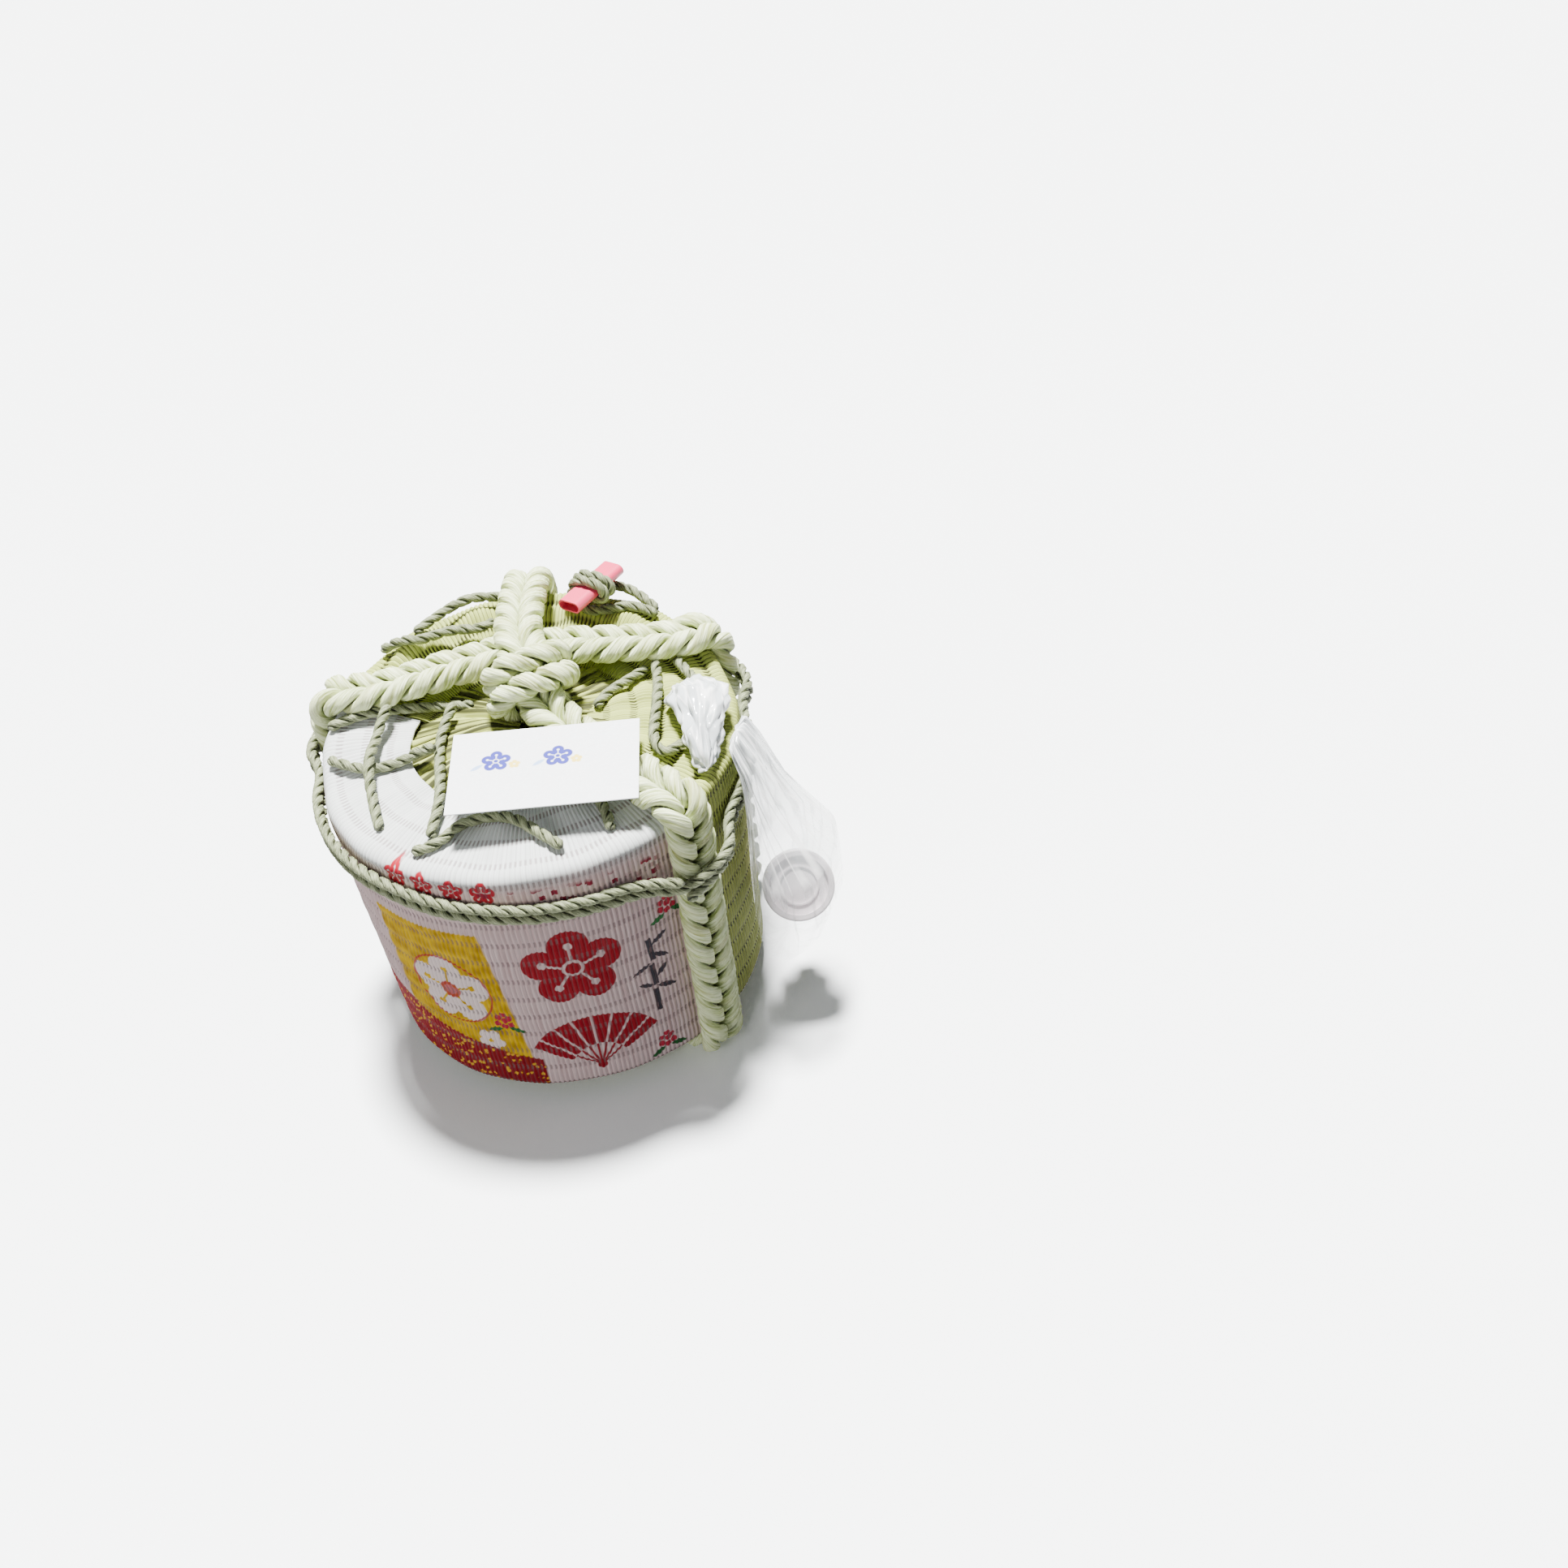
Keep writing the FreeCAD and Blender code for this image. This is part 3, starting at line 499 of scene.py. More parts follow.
fold_shares = (
    (-34.0, 10.0, 0.6), (-16.0, 12.0, 0.6), (1.0, 9.0, 0.7), (44.0, 9.0, 0.5),
    (61.0, 9.0, 0.9), (98.0, 10.0, 0.9), (122.0, 13.0, 1.2), (141.0, 9.0, 0.6),
)
fold_rise = 8.0


def plain_lift(azimuth, radius):
    height = np.zeros_like(radius)
    for middle, half_width, share in fold_shares:
        away = np.clip(np.abs(azimuth - middle) / half_width, 0, 1)
        height = height + fold_rise * share * np.cos(away * math.pi / 2) ** 1.1
    way = (radius - gather_radius) / (rim_radius - rim_rounding - gather_radius)
    front_way = np.interp(way, (0, 0.35, 0.65, 0.9, 1), (0.3, 1, 0.8, 0.25, 0))
    back_way = np.interp(way, (0, 0.5, 0.68, 0.78, 0.87, 0.95, 1), (0, 0, 0.1, 0.7, 1, 0.6, 0.2))
    return height * np.where(azimuth < right_leg, front_way, back_way)


def flap_lift(azimuth, radius):
    # the flap lies in loose waves that grow towards its free inner edge
    inward = np.clip((flap_outer - radius) / 30, 0, 1)
    angle = np.radians(azimuth)
    waves = np.sin(angle * 7) + 0.7 * np.sin(angle * 13 + 1) + 0.5 * np.sin(angle * 23 + radius * 0.12)
    return 1.5 * np.clip((flap_outer - radius) / 12, 0, 1) + 0.75 * waves * inward


def weave_shade_and_streaks(finish, slit_shade_strength, valley_shade_strength):
    # painted shade in the slits of the stitch rows and in the valleys between straws, and soft streaks along
    # the straws
    straw, stitch = finish.axes(finish.chart())[:2]
    row = ((stitch + 0.5).part() - 0.5).size()
    gap = ((straw + 0.5).part() - 0.5).size()
    slit_shade = (0.14 - row).edge(14) * (0.24 - gap).edge(10)
    valley_shade = (0.1 - gap).edge(8) * valley_shade_strength
    streak = finish.noise(finish.vector(straw * 2.2, stitch * 0.35, 0), 1.0, 3.0)
    return (slit_shade * slit_shade_strength).most(valley_shade), streak


def plain_straw():
    finish = Finish("plain_straw", 0.7, IOR=1.25)
    dark, streak = weave_shade_and_streaks(finish, 0.95, 0.75)
    x, y, z = finish.axes(finish.place())
    # the top and the side are lit and shaded copies of one straw colour: the side's darker pair is painted
    # shade, the top's brighter pair is painted light
    painted_top_light_mask = ((z - (top_level - rim_rounding) * mm) * 90).edge(1).least(1)
    side = finish.mixed(streak, rgb("767c38"), rgb("b9c074"))
    top = finish.mixed(streak, rgb("7c8834"), rgb("cdd67e"))
    tone = finish.mixed(painted_top_light_mask, side, top)
    # painted shade in the weave's hollows, where the relief lies low, together with the painted shade of the
    # slits and valleys
    relief = finish.attribute("relief")
    low = ((-0.5 - relief) * 0.6).most(0).least(0.8)
    tone = finish.mixed(dark.most(low), tone, rgb("24250c"))
    finish.colour(tone)
    finish.bump(streak, 0.35, 0.5)
    return finish.material


def pleat_straw():
    finish = Finish("pleat_straw", 0.68, IOR=1.25)
    straw, along = finish.axes(finish.chart())[:2]
    streak = finish.noise(finish.vector(straw * 6, along * 0.8, 0), 1.0, 3.0)
    gap = ((straw + 0.5).part() - 0.5).size()
    tone = finish.mixed(streak, rgb("6f7826"), rgb("c9d07a"))
    # painted shade in the gaps between the pleats, and between the foot mat's straws, which share this finish
    tone = finish.mixed((0.2 - gap).edge(6) * 0.92, tone, rgb("1e1f0c"))
    finish.colour(tone)
    finish.bump(streak, 0.4, 0.5)
    return finish.material


# The print: shapes on the front mat's cylinder, in millimetres across and up

print_azimuth = -93
print_radius = 97
panel_azimuth = -152
panel_right = -41
panel_slant = 0.1
panel_foot = 12
panel_top = 104
gold_crest = (-66, 62)
gold_small = (-52, 30)
band_top = 19
band_slope = 0.25
band_right = -28
red_blossom = (-2, 79)
red_fan = (0, 10)
bamboo = (34, 32)
sprig_places = ((46.5, 92, 0), (-42, 42, 0), (34, 8, 10))
berry_places = ((0, 0), (3.4, 1.2), (-3.2, 1.6), (0.6, 3.8), (-2.6, 5.4), (2.6, 5.2), (0.2, 7.6))
berry_radius = 1.75
fan_ribs = (40, 56.7, 73.3, 90, 106.7, 123.3, 140)
fan_heart = 0.42
row_middle = -53
row_half = 28
row_pitch = 14
row_level = 128.4
drift_middle = 4
drift_half = 42
drift_level = 122
drift_height = 8.0


class Print:
    def __init__(self, finish):
        self.finish = finish
        x, y, z = finish.axes(finish.place())
        azimuth = x.maths("ARCTAN2", y, x) * (180 / math.pi)
        self.across = (azimuth - print_azimuth) * (math.pi / 180 * print_radius)
        self.up = z * 1000 - base_level
        self.azimuth = azimuth

    def at(self, across, up, turn=0):
        x = self.across - across
        y = self.up - up
        if not turn:
            return x, y
        c, s = math.cos(math.radians(turn)), math.sin(math.radians(turn))
        return x * c + y * s, y * c - x * s

    def distance(self, x, y):
        return (x * x + y * y).root()

    def disc(self, across, up, radius):
        return (radius - self.distance(*self.at(across, up))).edge()

    def ring(self, across, up, radius, width):
        return (width / 2 - (self.distance(*self.at(across, up)) - radius).size()).edge()

    def bar(self, across, up, length, width, turn=0):
        x, y = self.at(across, up, turn)
        return (length / 2 - x.size()).edge() * (width / 2 - y.size()).edge()

    def leaf(self, across, up, length, width, turn):
        # the lens that two circles share
        x, y = self.at(across, up, turn)
        radius = (length * length / 4 + width * width / 4) / width
        return (radius - self.distance(x, y + (radius - width / 2))).least(
            radius - self.distance(x, y - (radius - width / 2))).edge()

    def petals(self, across, up, radius, size, count, turn=0):
        shape = None
        for number in range(count):
            angle = math.radians(turn + 360 * number / count)
            one = self.disc(across + radius * math.cos(angle), up + radius * math.sin(angle), size)
            shape = one if shape is None else shape.most(one)
        return shape

    def spokes(self, across, up, inner, outer, width, count, turn=0):
        shape = None
        for number in range(count):
            angle = turn + 360 * number / count
            middle = (inner + outer) / 2
            one = self.bar(
                across + middle * math.cos(math.radians(angle)),
                up + middle * math.sin(math.radians(angle)), outer - inner, width, angle)
            shape = one if shape is None else shape.most(one)
        return shape


def blossom(design, across, up, size, turn=90):
    # a plum blossom crest with its stamens left pale
    shape = design.petals(across, up, size * 0.55, size * 0.37, 5, turn)
    shape = shape.most(design.disc(across, up, size * 0.5))
    pale = design.spokes(across, up, size * 0.2, size * 0.52, size * 0.05, 5, turn)
    pale = pale.most(design.petals(across, up, size * 0.55, size * 0.08, 5, turn))
    pale = pale.most(design.ring(across, up, size * 0.17, size * 0.06))
    return shape * (1 - pale)


def fan(design, across, up, size):
    # an open folding fan crest with pale ribs
    x, y = design.at(across, up)
    far = design.distance(x, y)
    open_part = (y - x.size() * 0.52).edge()
    leaf = (size - far).edge() * (far - size * fan_heart).edge() * open_part
    ribs = None
    for angle in fan_ribs:
        rib = design.bar(
            across + size * 0.5 * math.cos(math.radians(angle)),
            up + size * 0.5 * math.sin(math.radians(angle)), size, size * 0.035, angle)
        ribs = rib if ribs is None else ribs.most(rib)
    stem = ribs * (size * fan_heart - far).edge()
    return (leaf * (1 - ribs)).most(stem).most(design.disc(across, up, size * 0.07))


def sprig(design, across, up, turn):
    berries = None
    for x, y in berry_places:
        one = design.disc(across + x, up + y, berry_radius)
        berries = one if berries is None else berries.most(one)
    leaves = design.leaf(across - 5.5, up - 3, 9, 3.2, 20 + turn).most(
        design.leaf(across + 6, up - 2.5, 9.5, 3.2, -28 + turn))
    return berries, leaves


def brushed_bamboo(design, across, up, height):
    joints = 3
    length = height / joints
    shape = None
    for number in range(joints):
        middle = up + length * (number + 0.5)
        one = design.bar(across + 0.5 * (number - 1), middle, length * 0.86, 3.0, 90 + 2 * number)
        shape = one if shape is None else shape.most(one)
    for x, y, turn, reach in (
        (5.5, 0.93, 28, 11), (5.0, 0.72, -32, 10), (-5.5, 0.62, 205, 11), (-4.6, 0.4, 150, 9),
        (5.6, 0.3, -20, 11), (4.4, 0.52, 40, 8),
    ):
        shape = shape.most(design.leaf(across + x, up + height * y, reach, 2.8, turn))
    return shape


def printed_straw():
    finish = Finish("printed_straw", 0.72, IOR=1.2)
    dark, streak = weave_shade_and_streaks(finish, 0.6, 0.3)
    design = Print(finish)
    level = design.up
    # the top and the side are lit and shaded copies of one mat colour: the side's pinkish pair is painted
    # shade, the top's grey pair is painted for the strong light on top
    painted_top_light_mask = ((level - (mat_height - rim_rounding)) * 0.15).edge(1).least(1)
    side = finish.mixed(streak, rgb("a58082"), rgb("efdedc"))
    top = finish.mixed(streak, rgb("adb1b0"), rgb("dfe3e2"))
    tone = finish.mixed(painted_top_light_mask, side, top)
    fibre = (streak * 0.3 + 0.86).least(1)

    # gold panel at the left with a pale crest, and its slanted right edge
    edge = panel_right + (100 - level) * panel_slant
    panel = (edge - design.across).edge(1) * (panel_top - level).edge(1) * (level - panel_foot).edge(1)
    panel = panel * (design.azimuth - panel_azimuth).edge(1)
    scales = finish.node("ShaderNodeTexVoronoi", {"feature": "F1"}, {
        "Vector": finish.vector(design.across * 0.16, level * 0.16), "Scale": 1.0})
    gold = finish.mixed(scales * 1.2, rgb("967200"), rgb("d6b000"))
    tone = finish.mixed(panel * fibre, tone, gold)
    crest = blossom(design, *gold_crest, 24)
    tone = finish.mixed(crest * panel * fibre, tone, rgb("ead9d6"))
    heart = design.disc(*gold_crest, 5.4).most(design.ring(*gold_crest, 21.5, 1.1))
    tone = finish.mixed(heart * panel * 0.85, tone, rgb("9e1b2b"))
    small = design.petals(*gold_small, 4.2, 3.0, 5, 60)
    tone = finish.mixed(small * panel * fibre, tone, rgb("ead9d6"))

    # a red band along the foot at the left, strewn with gold
    slope = (-30 - design.across) * band_slope
    low = (band_top - level + slope).edge(1) * (band_right - design.across).edge(1)
    tone = finish.mixed(low * fibre, tone, rgb("720614"))
    grains = finish.node("ShaderNodeTexVoronoi", {"feature": "F1"}, {
        "Vector": finish.vector(design.across * 0.3, level * 0.3), "Scale": 1.0})
    tone = finish.mixed((0.3 - grains).edge(10) * low * 0.9, tone, rgb("d9a82e"))

    # two red crests down the middle
    red = blossom(design, *red_blossom, 26).most(fan(design, *red_fan, 35))
    tone = finish.mixed(red * fibre, tone, rgb("7d0416"))

    # berry sprigs and a brushed bamboo
    berries = None
    leaves = None
    for across, height, turn in sprig_places:
        fruit, green = sprig(design, across, height, turn)
        berries = fruit if berries is None else berries.most(fruit)
        leaves = green if leaves is None else leaves.most(green)
    tone = finish.mixed(berries * fibre, tone, rgb("a3263a"))
    tone = finish.mixed(leaves, tone, rgb("144a20"))
    black = brushed_bamboo(design, *bamboo, 50)
    tone = finish.mixed(black, tone, rgb("100d14"))

    # a row of small red blossoms round the rim at the left
    band = Print(finish)
    row = (row_half - (design.across - row_middle).size()).edge(1)
    start = row_middle - row_half
    band.across = ((design.across - start) / row_pitch).part() * row_pitch - row_pitch / 2
    band.up = level + design.across * 0.083
    tone = finish.mixed(blossom(band, 0, row_level, 6.4) * row * fibre, tone, rgb("9e1b2b"))

    # square flakes in a drift under the rim
    flakes = finish.node("ShaderNodeTexVoronoi", {"feature": "F1", "distance": "CHEBYCHEV"}, {
        "Vector": finish.vector(design.across * 0.24, level * 0.24), "Scale": 1.0, "Randomness": 0.8})
    drift = (drift_height - (level - drift_level + (design.across - 5) * 0.05).size()).edge(0.4)
    drift = drift * (drift_half - (design.across - drift_middle).size()).edge(0.2)
    tone = finish.mixed((0.33 - flakes).edge(12) * drift, tone, rgb("7c1f33"))
    # painted shade in the slits of the stitch rows and the valleys between straws
    tone = finish.mixed(dark, tone, rgb("6f5a5c"))
    finish.colour(tone)
    finish.bump(streak, 0.3, 0.5)
    return finish.material


plain_finish = plain_straw()
printed_finish = printed_straw()
pleat_finish = pleat_straw()

seam = 0.12
front_sweep = 360 + front_leg - left_leg - 2 * seam
plain_sweep = left_leg - front_leg - 2 * seam
front_mat = piece(
    "printed_mat",
    [woven("printed_mat", left_leg + seam, front_sweep, flap_radius, 3, flap_lift, front_weave)],
    printed_finish, replaced=["front_mat"], wall=mat_wall)
plain_mat = piece(
    "wrapping_mat",
    [woven("wrapping_mat", front_leg + seam, plain_sweep, gather_radius, 5, plain_lift, plain_weave)],
    plain_finish, replaced=["plain_mat"], wall=mat_wall)


pleats = 62
pleat_columns = 6
pleat_rows = 16
pleats_inner = 4
pleats_outer = flap_radius + 2


def gathered(u, v):
    # pleats drawn together under the knot
    azimuth = 360 * u
    radius = pleats_inner + (pleats_outer - pleats_inner) * v
    level = top_level + crown * (1 - radius / (rim_radius - rim_rounding))
    bunch = 2.6 * np.exp(-((radius - 20) / 14) ** 2)
    wander = 0.5 * np.sin(u * 2 * math.pi * 9) + 0.5 * np.sin(u * 2 * math.pi * 23 + 1 + radius * 0.05)
    ridge = np.abs(np.sin(math.pi * (u * pleats + 0.4 * wander + 0.012 * radius)))
    fade = np.clip((radius - 5) / 12, 0, 1)
    level = level - 2.2 + bunch + (ridge ** 0.7 * 2.8 + wander * 1.5) * fade
    level = level - 2.5 * np.clip((radius - 44) / 12, 0, 1)
    angle = np.radians(azimuth)
    return np.stack([radius * np.cos(angle), radius * np.sin(angle), level], axis=1)


gather_mesh = grid("gathered_pleats", pleats * pleat_columns, pleat_rows, gathered)
stretch(gather_mesh, pleats, 4)
gather = piece("gathered_pleats", [gather_mesh], pleat_finish, replaced=["mat_gather"], wall=1.2)


# Thick ropes: the places along each leg, from the top down to the foot

rim_run = 24
foot_run = 22
rim_widening = 1.1
front_leg_lift = 3
corner_reach = 26
hump_inside = 22
hump_fall = 2.5
lay = 27.0
plump = 12.6


def leg(azimuth, side):
    shift = turned_to(azimuth + 90) * pair_offset * side
    spread = math.degrees(thick_rope / rim_radius)
    lift = float(max(back_lift(azimuth - spread), back_lift(azimuth + spread)))
    if azimuth == front_leg:
        lift += front_leg_lift
    reach = rim_radius + side_offset
    level = top_level + lift + side_offset
    rim = polar(reach, azimuth, level) + shift * rim_widening
    inside = polar(reach - rim_run, azimuth, level + 0.5) + shift * rim_widening
    below = polar(reach - 1, azimuth, level - rim_run) + shift
    foot_reach = base_radius + side_offset + 0.8
    ankle = polar(foot_reach + 0.7, azimuth, rope_level + foot_run) + shift
    foot = polar(foot_reach, azimuth, rope_level) + shift
    under = polar(foot_reach - foot_run, azimuth, rope_level) + shift
    return {"inside": inside, "rim": rim, "side": [below, ankle], "foot": foot, "under": under}


def leg_down(azimuth, side, inside=True):
    places = leg(azimuth, side)
    start = [places["inside"]] if inside else []
    return start + [places["rim"], *places["side"], places["foot"], places["under"]]


def leg_up(azimuth, side, inside=True):
    return list(reversed(leg_down(azimuth, side, inside)))


def beneath(first, second):
    # where the lines of two neighbouring legs meet under the base
    half = (second - first) / 2
    corner = polar(pair_offset / math.sin(math.radians(half)), (first + second) / 2, rope_level)
    return [
        polar(corner_reach, first, rope_level) + turned_to(first + 90) * pair_offset,
        corner,
        polar(corner_reach, second, rope_level) - turned_to(second + 90) * pair_offset,
    ]


knot_side = turned_to(knot_heading + 90)
pitch = math.radians(knot_pitch)
knot_along = turned_to(knot_heading) * math.cos(pitch) - Vector((0, 0, math.sin(pitch)))
knot_rise = knot_along.cross(knot_side)
knot_reaches = (0.5, 16.5)


def knot_mouth(direction, side):
    # where a rope enters the knot, from its middle outwards
    here = knot_middle + knot_side * pair_offset * side
    return [here + knot_along * direction * reach for reach in knot_reaches]


crossing_shift = Vector((0, pair_offset, 0))
low_line = crossing - crossing_shift
high_line = crossing + crossing_shift

front_route = (
    knot_mouth(1, 1) + leg_down(front_leg, 1) + beneath(front_leg, right_leg)
    + leg_up(right_leg, -1) + [low_line] + leg_down(left_leg, 1)
    + beneath(left_leg, front_leg + 360) + leg_up(front_leg, -1)
    + list(reversed(knot_mouth(1, -1)))
)
over_place = Vector((crossing.x, crossing.y, over_level))
hump = polar(rim_radius + side_offset - hump_inside, back_leg, over_level - hump_fall)
hump_shift = turned_to(back_leg + 90) * pair_offset
knot_shift = knot_side * pair_offset
back_route = (
    knot_mouth(-1, 1) + [over_place + knot_shift, hump - hump_shift] + leg_down(back_leg, -1, False)
    + list(reversed(beneath(right_leg, back_leg))) + leg_up(right_leg, 1) + [high_line]
    + leg_down(left_leg, -1) + list(reversed(beneath(back_leg, left_leg)))
    + leg_up(back_leg, 1, False) + [hump + hump_shift, over_place - knot_shift]
    + list(reversed(knot_mouth(-1, -1)))
)
front_rope = piece(
    "front_straw_rope",
    strands("front_straw_rope", front_route, plump, lay, beneath(front_leg, right_leg)[1], floor=True),
    thick_straw, replaced=["thick_rope_front"])
back_rope = piece(
    "back_straw_rope",
    strands("back_straw_rope", back_route, plump, lay, beneath(back_leg, left_leg)[1], floor=True),
    thick_straw, replaced=["thick_rope_back"])


# The bound knot: two turns round the pair of ropes

def wound(middle, along, side, rise, half_width, half_height, step):
    # turns that run over the corners of a box, a step on at each turn
    turns = 2
    corners = ((1, -1), (1, 1), (-1, 1), (-1, -1))
    places = []
    for number in range(turns * 4 + 1):
        across, over_or_under = corners[number % 4]
        shift = step * (number / 4 - turns / 2)
        place = middle + side * half_width * across + rise * half_height * over_or_under
        places.append(place + along * shift)
    return places


knot_bend = thick_rope + 0.3
knot_step = thick_rope + 0.6
knot_turns = wound(
    knot_middle, knot_along, knot_side, knot_rise, pair_offset + knot_bend, knot_bend, knot_step)
knot = piece(
    "bound_knot", strands("bound_knot", knot_turns, plump, lay * 0.9), thick_straw, replaced=["top_knot"])


# Thin ropes

thin_lay = 15.0
plump_thin = 5.2
thin_gap = 0.3


def on_mats(x, y, lift):
    # the place at a height over whichever mat lies there
    radius = math.hypot(x, y)
    azimuth = math.degrees(math.atan2(y, x))
    level = float(crown_level(radius, azimuth))
    lift_at = plain_lift if front_leg < azimuth < left_leg else flap_lift
    level += float(lift_at(np.array([azimuth]), np.array([radius]))[0])
    return Vector((x, y, level + thin_rope / 2 + thin_gap + lift))


lace_routes = {
    "lace_left_edge": (
        (-92, 33, 0), (-83, 34, 1), (-68, 33, 2), (-50, 32, 2), (-35, 30, 1), (-22, 24, 1),
    ),
    "lace_left_down": (
        (-61, 30, 7), (-65, 24, 5), (-70, 13, 1), (-73, 3, 5), (-75, -5, 6), (-76, -16, 3),
        (-76, -31, 0), (-75, -46, 0),
    ),
    "lace_left_cross": (
        (-94, 13, 0), (-87, 6, 0), (-75, -3, 0), (-60, -3, 0), (-50, -5, 5), (-43, -9, 6),
    ),
    "lace_middle_down": (
        (-31, 22, 7), (-36, 13, 3), (-41, 2, 0), (-43, -12, 0), (-44, -30, 3), (-47, -49, 3),
        (-54, -62, 0),
    ),
    "lace_front": (
        (-63, -66, 0), (-52, -68, 0), (-41, -60, 1), (-28, -59, 1), (-16, -66, 2), (-8, -77, 1),
        (2, -89, 0),
    ),
    "lace_front_right": ((24, -86, 0), (25, -76, 1), (22, -64, 1)),
    "lace_knot_right": ((63, 20, 1), (50, 13, 2), (41, 5, 2), (33, -3, 1)),
    "lace_right_down": (
        (67, 21, 3), (66, 11, 2), (64, -2, 2), (61, -14, 3), (57, -27, 3), (54, -38, 2),
        (55, -47, 2), (62, -47, 1), (67, -41, 0),
    ),
    "lace_right_edge": ((77, 20, 2), (79, 13, 2), (81, 5, 2), (83, -2, 0)),
    "lace_back_left": (
        (-42, 74, 0), (-34, 82, 4), (-24, 88, 5), (-13, 88, 5), (-4, 90, 4), (4, 92, 3),
    ),
    "lace_back_left_inner": (
        (-60, 76, 0), (-50, 70, 2), (-40, 67, 5), (-30, 73, 5), (-20, 74, 5), (-10, 70, 7), (-2, 74, 6),
    ),
    "lace_back_right": ((38, 86, 2), (47, 80, 4), (61, 80, 4), (70, 73, 2), (77, 60, -1)),
    "lace_back_right_inner": (
        (33, 77, 2.5), (39, 71, 1.0), (44, 66, 0.8), (55, 65, 0.5), (66, 62, 2), (76, 54, 1),
    ),
}
for name, route in lace_routes.items():
    points = [on_mats(*stop) for stop in route]
    lace = piece(
        name + "_straw", strands(name + "_straw", points, plump_thin, thin_lay, step=1.1, around=10),
        thin_straw, replaced=[name])

girth_shares = (
    (-140.0, 0.905), (-120.0, 0.87), (-100.0, 0.845), (-80.0, 0.825), (-56.5, 0.785),
    (-38.0, 0.85), (-10.0, 0.88), (19.0, 0.89), (50.0, 0.9), (79.0, 0.91), (115.0, 0.915),
    (150.0, 0.915), (180.0, 0.915), (220.0, 0.905),
)
girth_turns = 2
girth_step = 5.4
girth_stand = thin_rope / 2 + thin_gap + 0.9
leg_stand = thick_rope + 1.2
free_stand = 1.2
station_pitch = 14

# Degrees from a leg's middle to where the rope rides over it, and to where it is back on the mat
crest = 7.62
skirt = 15.24
legs = (front_leg, right_leg, back_leg, left_leg)


def girth_stations():
    # one turn's azimuths, and how far the rope stands off the mat at each
    stations = []
    for number, azimuth in enumerate(legs):
        stations += [
            (azimuth - skirt, 0), (azimuth - crest, leg_stand), (azimuth + crest, leg_stand),
            (azimuth + skirt, 0)]
        following = legs[(number + 1) % len(legs)] + (360 if number == len(legs) - 1 else 0)
        free = following - azimuth - 2 * skirt
        count = max(1, round(free / station_pitch))
        stations += [(azimuth + skirt + free * step / count, free_stand) for step in range(1, count)]
    return stations


def girth_route():
    stations = girth_stations()
    laid = [(azimuth + 360 * turn, stand) for turn in range(girth_turns + 1) for azimuth, stand in stations]
    laid = laid[1:len(stations) * girth_turns + 2]
    start = girth_shares[0][0]
    route = []
    for azimuth, stand in laid:
        place = (azimuth - start) % 360 + start
        share = float(np.interp(place, *zip(*girth_shares)))
        level = base_level + mat_height * share
        level += girth_step * ((azimuth - laid[0][0]) / 360 - girth_turns / 2)
        route.append(polar(mat_radius(level) + girth_stand + stand, azimuth, level))
    return route


girth = piece(
    "girth_straw_rope",
    strands("girth_straw_rope", girth_route(), plump_thin, thin_lay, step=1.5, around=10),
    thin_straw, replaced=["girth_rope"])

# The pull sleeve's binding
sleeve_middle = Vector((47.5, 69.0, top_level + 28.9))
sleeve_azimuth = 43
sleeve_half_width = 9.3
sleeve_half_height = 5.7
sleeve_step = 5.4
sleeve_turns = wound(
    sleeve_middle, turned_to(sleeve_azimuth), turned_to(sleeve_azimuth + 90), Vector((0, 0, 1)),
    sleeve_half_width, sleeve_half_height, sleeve_step)
binding = piece(
    "sleeve_lashing", strands("sleeve_lashing", sleeve_turns, plump_thin, thin_lay, step=1.0, around=10),
    thin_straw, replaced=["sleeve_binding"])


# Film bag and its bunched top

def film(name, least, most, streaks):
    # clear where it lies smooth, and white along its creases: partly the creased film's own whitening, partly
    # a painted highlight
    finish = Finish(name, 0.14, IOR=1.45)
    around, along = finish.axes(finish.chart())[:2]
    crease = finish.noise(finish.vector(around * streaks, along * 0.7, 0), 3.0, 1.0)
    crumple = finish.noise(finish.place(), 22.0, 1.0)
    ridge = (1 - (crease - 0.5).size() * 22).most(0)
    fold = (1 - (crumple - 0.5).size() * 26).most(0)
    neck = (1 - along * 1.5).most(0) * 0.75
    # the whiter, more opaque creases are partly the film's own whitening and partly a painted highlight
    crease_whitening_and_highlight = ridge.most(fold * 0.35) * (1.1 - along).most(0.15) * (most - least)
    finish.feed("Alpha", (crease_whitening_and_highlight + least + neck).least(1))
    finish.colour(finish.mixed(ridge, rgb("cdd3d6"), rgb("ffffff")))
    finish.bump(crease + crumple * 0.6, 1.0, 1.6)
    return finish.material


clear_film = film("clear_film", 0.03, 0.7, 6.0)
bunched_film = film("bunched_film", 0.8, 0.98, 4.0)
bag_azimuth = -28.0
bag_height = 151

# Each row of the bag: its height and how far out it hangs, its breadth and its depth
bag_rows = (
    (1.0, 1.03, 0.14, 0.024), (0.91, 1.08, 0.17, 0.035), (0.73, 1.135, 0.23, 0.09),
    (0.53, 1.225, 0.35, 0.2), (0.37, 1.225, 0.38, 0.205), (0.25, 1.19, 0.34, 0.17),
    (0.18, 1.15, 0.22, 0.07),
)


